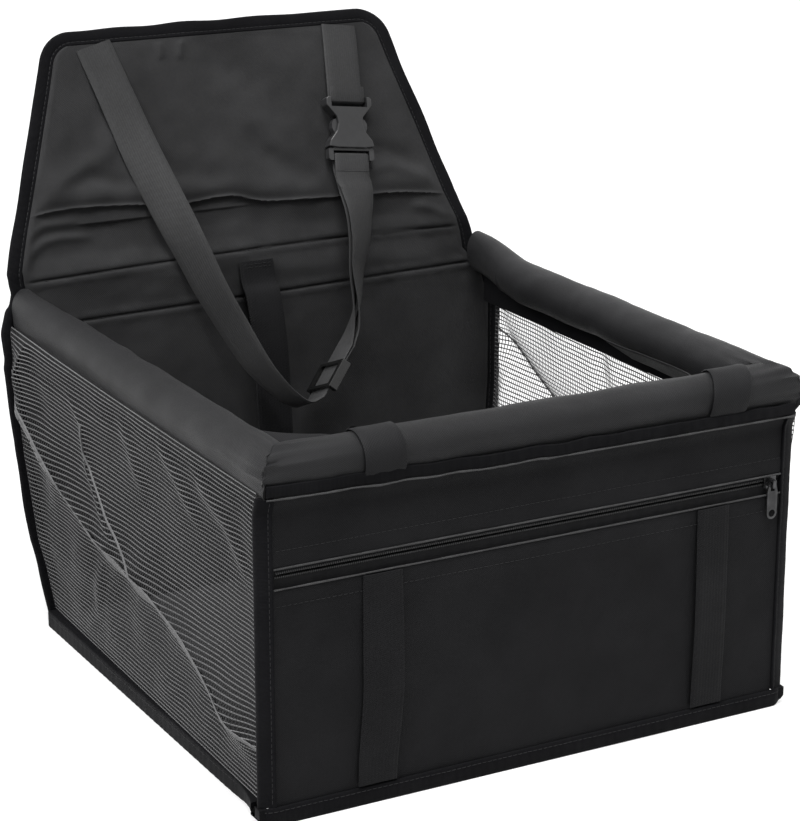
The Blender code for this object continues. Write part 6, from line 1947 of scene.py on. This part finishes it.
@dataclass
class HeadrestStrap:
    """The loop that holds the seat to a headrest: two straps, their buckle and the adjuster.

    The points of falling and rising are across, up and out of the flap, and the webbing's turn in degrees.
    """

    palette: Palette
    pivot: float = 0.1675
    left_seam: float = -0.1130
    right_seam: float = 0.0995
    mouth: Triple = (0.0872, 0.0655, 0.0098)
    falling: tuple[tuple[float, float, float, float], ...] = (
        (-0.1003, 0.1180, 0.0068, 4),
        (-0.0900, 0.0755, 0.0100, 16),
        (-0.0751, 0.0248, 0.0142, 32),
        (-0.0668, 0.0000, 0.0148, 42),
        (-0.0547, -0.0334, 0.0128, 52),
        (-0.0396, -0.0680, 0.0110, 60),
        (-0.0246, -0.0994, 0.0105, 69),
        (-0.0073, -0.1220, 0.0105, 81),
        (0.0060, -0.1318, 0.0105, 88),
        (0.0176, -0.1288, 0.0105, 88),
    )
    rising: tuple[tuple[float, float, float, float], ...] = (
        (0.0500, -0.0915, 0.0105, 88),
        (0.0588, -0.0756, 0.0112, 104),
        (0.0655, -0.0562, 0.0122, 120),
        (0.0702, -0.0325, 0.0135, 133),
        (0.0772, -0.0089, 0.0142, 144),
        (0.0812, 0.0119, 0.0136, 154),
        (0.0846, 0.0320, 0.0102, 173),
    )
    slack: Points = ((-0.092, 0.0006), (-0.078, 0.0026), (-0.060, 0.0026), (-0.030, 0.0010), (0.040, 0.0022))
    adjuster_at: float = 0.0205
    run_lead: float = 0.002
    flap_face: float = 0.0037
    socket_length: float = 0.0415
    plug_base: float = 0.0100
    bar_depth: float = 0.0030
    plug_bar_depth: float = 0.0045
    bar_thickness: float = 0.0026
    wrap_tail: float = 0.009
    half_height: float = 0.0130
    centre_half: float = 0.0020
    centre_depth: float = 0.0022
    sewn_tail: float = 0.012
    smoothing: int = 6
    round_steps: int = 8
    frame: Array = field(init=False)
    reach: float = field(init=False)

    def __post_init__(self) -> None:
        """Set the buckle's frame: its origin at the socket's mouth, up along the strap."""
        lean = math.atan2(self.right_seam - self.mouth[0], self.pivot - self.mouth[1])
        turn = np.array(((math.cos(lean), math.sin(lean), 0), (-math.sin(lean), math.cos(lean), 0), (0, 0, 1)))
        self.frame = np.hstack([FLAP[:, :3] @ turn, place(FLAP, self.mouth)[:, None]])
        self.reach = self.bar_thickness / 2 + GAP + WEBBING_HALF

    def round_bar(self, bar: float, depth: float, way: int, rear_from: float, front_to: float) -> Array:
        """A path behind a bar, round it and back in front.

        Args:
            bar: The bar's place up the buckle.
            depth: How deep the bar is, along the strap.
            way: 1 to turn over its top, -1 under its foot.
            rear_from: Where the path starts.
            front_to: Where it ends.

        Returns:
            World points.
        """
        turns = np.linspace(0, math.pi, self.round_steps + 1)
        up = [rear_from, *(bar + way * (depth / 2 + self.reach * np.sin(turns) * 0.5)), front_to]
        out = [-self.reach, *(-self.reach * np.cos(turns)), self.reach]
        return place(self.frame, np.stack([np.zeros(len(up)), up, out], -1))

    def straight(self) -> tuple[Array, float, Array, Array]:
        """The run that the adjuster slides on: its foot, length, direction and width direction.

        Returns:
            All four in the flap's own frame.
        """
        low, high = np.array(self.falling[-1][:3]), np.array(self.rising[0][:3])
        length = float(np.linalg.norm(high - low))
        along = (high - low) / length
        across = turned(np.array(self.rising[0][3]))
        return low, length, along, units(across - along * (across @ along))

    def rising_knots(self) -> Array:
        """Smoothed knots from the straight run's top to just below the plug's bar, behind it.

        Returns:
            Across, up and out of the flap, and the webbing's turn in degrees.
        """
        spot = place(self.frame, (0, -self.plug_base - self.bar_depth * 2, -self.reach))
        below = (spot - FLAP[:, 3]) @ FLAP[:, :3]
        return spline([*self.rising, (*below, 180.0)], self.smoothing)

    def strap(self, name: str, centres: Array, across: Array, seed: int, rests_on: str = "back_lining") -> Piece:
        """Make a strap along its middle line.

        Args:
            name: The piece's name.
            centres: The line.
            across: Its width direction at each point.
            seed: Which unevenness.
            rests_on: The piece that it lies on.

        Returns:
            The piece.
        """
        piece = webbing(Piece(name, self.palette.strap, Slot.STRAP), centres, across, STRAP_WIDTH, seed)
        piece.sheet(STRAP_WIDTH, run_length(centres), Held.HUNG, rests_on)
        return piece

    def short(self) -> None:
        """Build the short strap, from the flap's seam round the socket's bar."""
        bar = self.socket_length - self.bar_depth / 2
        ends = self.socket_length + self.bar_depth, self.socket_length + self.wrap_tail
        wrapped = self.round_bar(bar, self.bar_depth, -1, *ends)
        start = place(FLAP, (self.right_seam, self.pivot, self.flap_face + GAP + WEBBING_HALF))
        middle = (start * 2 + wrapped[0]) / 3 + FLAP[:, 2] * 0.0006
        centres = np.vstack([spline([start, middle, wrapped[0]], 8), wrapped[1:]])
        across = np.broadcast_to(self.frame[:, 0], centres.shape)
        self.strap("short_headrest_strap", centres, across, 31).ride(Body.LOOP, "short_strap")

    def long(self) -> None:
        """Build the long strap, from the left seam through the adjuster and round the plug's bar."""
        start = (self.left_seam, self.pivot, self.flap_face + GAP + WEBBING_HALF, 0.0)
        low, length, along, _ = self.straight()
        spots = (self.run_lead, length * 0.35, length * 0.7, length - self.run_lead)
        lead = [(*(low + along * spot), self.rising[0][3]) for spot in spots]
        knots = np.vstack([spline([start, *self.falling], self.smoothing), lead, self.rising_knots()[:-1]])
        bar = -self.plug_base + self.plug_bar_depth / 2
        ends = -self.plug_base - self.bar_depth * 2, -self.plug_base - self.wrap_tail
        wrapped = self.round_bar(bar, self.plug_bar_depth, 1, *ends)
        centres = np.vstack([place(FLAP, knots[:, :3]), wrapped])
        wrapped_across = np.broadcast_to(-self.frame[:, 0], wrapped.shape)
        across = np.vstack([turn_into(FLAP, turned(knots[:, 3])), wrapped_across])
        first = place(FLAP, (-0.105, self.pivot, 0))
        piece = self.strap("long_headrest_strap", centres, across, 32)
        piece.bend(Body.LOOP, Body.PLUG, first, first + np.array((0.09, 0, 0)), "long_strap")

    def adjuster_frame(self) -> Array:
        """The adjuster's frame: across the webbing, up the run, towards its free side.

        Returns:
            A 3 by 4 matrix like a panel's.
        """
        low, _, along, across = self.straight()
        basis = FLAP[:, :3] @ np.stack([across, along, np.cross(across, along)], 1)
        return np.hstack([basis, place(FLAP, low + along * self.adjuster_at)[:, None]])

    def back_run(self) -> None:
        """Build the run from the plug's bar down to the adjuster's centre bar, where it is sewn back."""
        step = WEBBING_HALF * 2 + GAP
        head = -self.plug_base - self.wrap_tail - GAP
        lead = place(self.frame, ((0, head, self.reach), (0, head - self.bar_depth * 2, self.reach)))
        knots = self.rising_knots()
        centres, across = place(FLAP, knots[:, :3]), turn_into(FLAP, turned(knots[:, 3]))
        offset = step + np.interp(knots[:, 1], *zip(*self.slack))
        keep = knots[:, 1] < ((lead[1] - FLAP[:, 3]) @ FLAP[:, :3])[1] - self.bar_depth
        centres = (centres - follow(centres, across)[1] * offset[:, None])[keep]
        rear = -step - (step + self.centre_depth + GAP)
        drop = self.centre_half + GAP * 2 + WEBBING_HALF
        edge, turn_in = self.centre_half + GAP, WEBBING_HALF + GAP / 2
        spots = [(self.sewn_tail, rear), (self.sewn_tail / 2, rear), (-edge, rear)]
        spots += [(-edge - 0.0006, rear + turn_in * 0.35), (-drop, rear + turn_in), (-drop, -step - turn_in)]
        spots += [(-edge - 0.0006, -step - turn_in * 0.35), (-edge, -step), (edge, -step)]
        spots += [(self.half_height * 0.6, -step), (self.half_height, -step)]
        tri = self.adjuster_frame()
        low = place(tri, [(0, up, out) for up, out in spots])
        path = np.vstack([low, centres, lead[::-1]])
        first, last = np.broadcast_to(tri[:, 0], low.shape), np.broadcast_to(-self.frame[:, 0], lead.shape)
        ways = np.vstack([first, across[keep], last])
        piece = self.strap("return_headrest_strap", path, ways, 33, "long_headrest_strap")
        piece.bend(Body.ADJUSTER, Body.PLUG, low[-1], lead[-1], "return_strap")

    def build(self) -> None:
        """Build the straps and finish the buckle and the adjuster."""
        self.short()
        self.long()
        self.back_run()
        dress(self.palette.buckle, "buckle_socket", "buckle_plug")
        dress(self.palette.gloss, "adjuster")


def dress(material: Material, *nodes: str) -> None:
    """Give nodes of the frame a finish.

    Args:
        material: The finish.
        nodes: The nodes' names.
    """
    for node in nodes:
        shape = frame["nodes"][node]
        if not shape.material_slots:
            shape.data.materials.append(material)
        for slot in shape.material_slots:
            slot.material = material
        LOG.info("%s: finished with %s", node, material.name)


@dataclass
class RimStraps:
    """The webbing that wraps over the front rim and runs back under each side rim.

    Each place is along the front rim, with how far the strap moves aside on its way up. The points of the
    run are a share of the way to the side, depth, height, and the webbing's turn in degrees.
    """

    palette: Palette
    places: Points = ((-0.121, 0.0), (0.144, 0.010))
    wrap_from: float = math.radians(-31)
    wrap_to: float = math.radians(120)
    tucked_x: float = 0.1783
    run: tuple[tuple[float, float, float, float], ...] = (
        (0.17, -0.165, 0.2389, 20),
        (0.44, -0.150, 0.2308, 38),
        (0.72, -0.125, 0.2265, 42),
        (0.93, -0.095, 0.2244, 40),
        (0.99, -0.060, 0.2235, 37),
        (1.00, -0.020, 0.2229, 35),
    )

    def strap(self, side: Side) -> None:
        """Build one strap.

        Args:
            side: Which side of the seat.
        """
        x, slant = self.places[side > 0]
        lift = SLEEVE_RADIUS + GAP + WEBBING_HALF + 0.0004
        turns = np.linspace(self.wrap_from, self.wrap_to, 24)
        normal = np.stack([np.zeros_like(turns), -np.cos(turns), np.sin(turns)], -1)
        wrap = np.array((x, FRONT_RIM_Y, RIM_Z)) + normal * lift
        wrap[:, 0] += side * slant * ease(np.linspace(0, 1, len(wrap)))
        x = x + side * slant
        run = [(x + (side * self.tucked_x - x) * share, y, z, turn) for share, y, z, turn in self.run]
        path = spline([(*wrap[-1], 0.0), *run], 5)[1:]
        across = turned(path[:, 3]) * (1, 1, -side)
        across = np.vstack([np.broadcast_to((1.0, 0.0, 0.0), wrap.shape), across])
        centres = np.vstack([wrap, path[:, :3]])
        piece = Piece(f"{side.word}_wrap", self.palette.wrap, Slot.WEBBING)
        webbing(piece, centres, across, STRAP_WIDTH, 100 + side).ride(Body.BOX, f"{side.word}_rim_strap")
        piece.sheet(STRAP_WIDTH, run_length(centres), Held.HUNG, "front_sleeve_cloth")

    def build(self) -> None:
        """Build both straps."""
        for side in Side:
            self.strap(side)


@dataclass
class Tether:
    """The safety leash: webbing sewn to the back, an eye, a swivel hook and its gate."""

    palette: Palette
    seam: Seam
    x: float = -0.0080
    top: float = 0.263
    route: Points = ((0.247, 0.0080), (0.236, 0.0150), (0.212, 0.0200), (0.170, 0.0225))
    eye_up: float = 0.079
    eye_out: float = 0.0210
    eye_half_height: float = 0.0065
    eye_wire: float = 0.0016
    sewn_tail: float = 0.012

    def strap(self) -> None:
        """Build the webbing, and sew its top to the back."""
        lift = self.eye_wire + GAP + WEBBING_HALF
        bar = place(BACK, (self.x, self.eye_up, self.eye_out)) + np.array((0, 0, self.eye_half_height))
        route = ((self.top, COVER_HALF + GAP + WEBBING_HALF), *self.route)
        knots = [*(place(BACK, (self.x, up, out)) for up, out in route), bar + np.array((0, lift, lift * 3))]
        turns = np.linspace(0, math.pi, 9)
        loop = bar + lift * np.stack([np.zeros(9), np.cos(turns), -np.sin(turns)], -1)
        tail = [bar + np.array((0, -lift, lift * 3)), bar + np.array((0, -lift + GAP, self.sewn_tail))]
        centres = np.vstack([spline(knots, 7), loop, tail])
        for number in (1, 2):
            middle = centres[number] + BACK[:, 2] * WEBBING_HALF * 1.1
            row = np.linspace(-0.42, 0.42, 9)[:, None] * np.array((STRAP_WIDTH, 0.0, 0.0))
            self.seam.row(middle + row, BACK[:, 2])
        piece = Piece("tether_webbing", self.palette.band, Slot.WEBBING)
        across = np.broadcast_to((1.0, 0.0, 0.0), centres.shape)
        webbing(piece, centres, across, STRAP_WIDTH, 110).ride(Body.BOX, "tether_strap")
        piece.sheet(STRAP_WIDTH, run_length(centres), Held.HUNG, "back_lining")

    def build(self) -> None:
        """Build the leash and finish its metal."""
        self.strap()
        dress(self.palette.metal, "tether_eye", "tether_hook", "hook_gate")


def main() -> None:
    """Build the studio and the seat, piece by piece."""
    logging.basicConfig(level=logging.INFO, format="%(name)s: %(message)s")
    palette = Palette()
    seam = Seam()
    Studio().build()
    parts = (
        Rim(palette),
        FrontWall(palette, seam),
        Zipper(palette),
        SideWalls(palette),
        Base(palette, seam),
        BackAndFlap(palette),
        HeadrestStrap(palette),
        RimStraps(palette),
        Tether(palette, seam),
    )
    for part in parts:
        part.build()
        LOG.info("%s: built", type(part).__name__)
    seam.sew("box_stitches", palette.thread).ride(Body.BOX)
    dress(palette.metal, "zipper_slider", "zipper_pull")
    dress(palette.pipe, "front_tube", "left_tube", "right_tube")
    dress(palette.board, "floor_board", "front_board", "back_board", "flap_board")


if __name__ == "__main__":
    main()
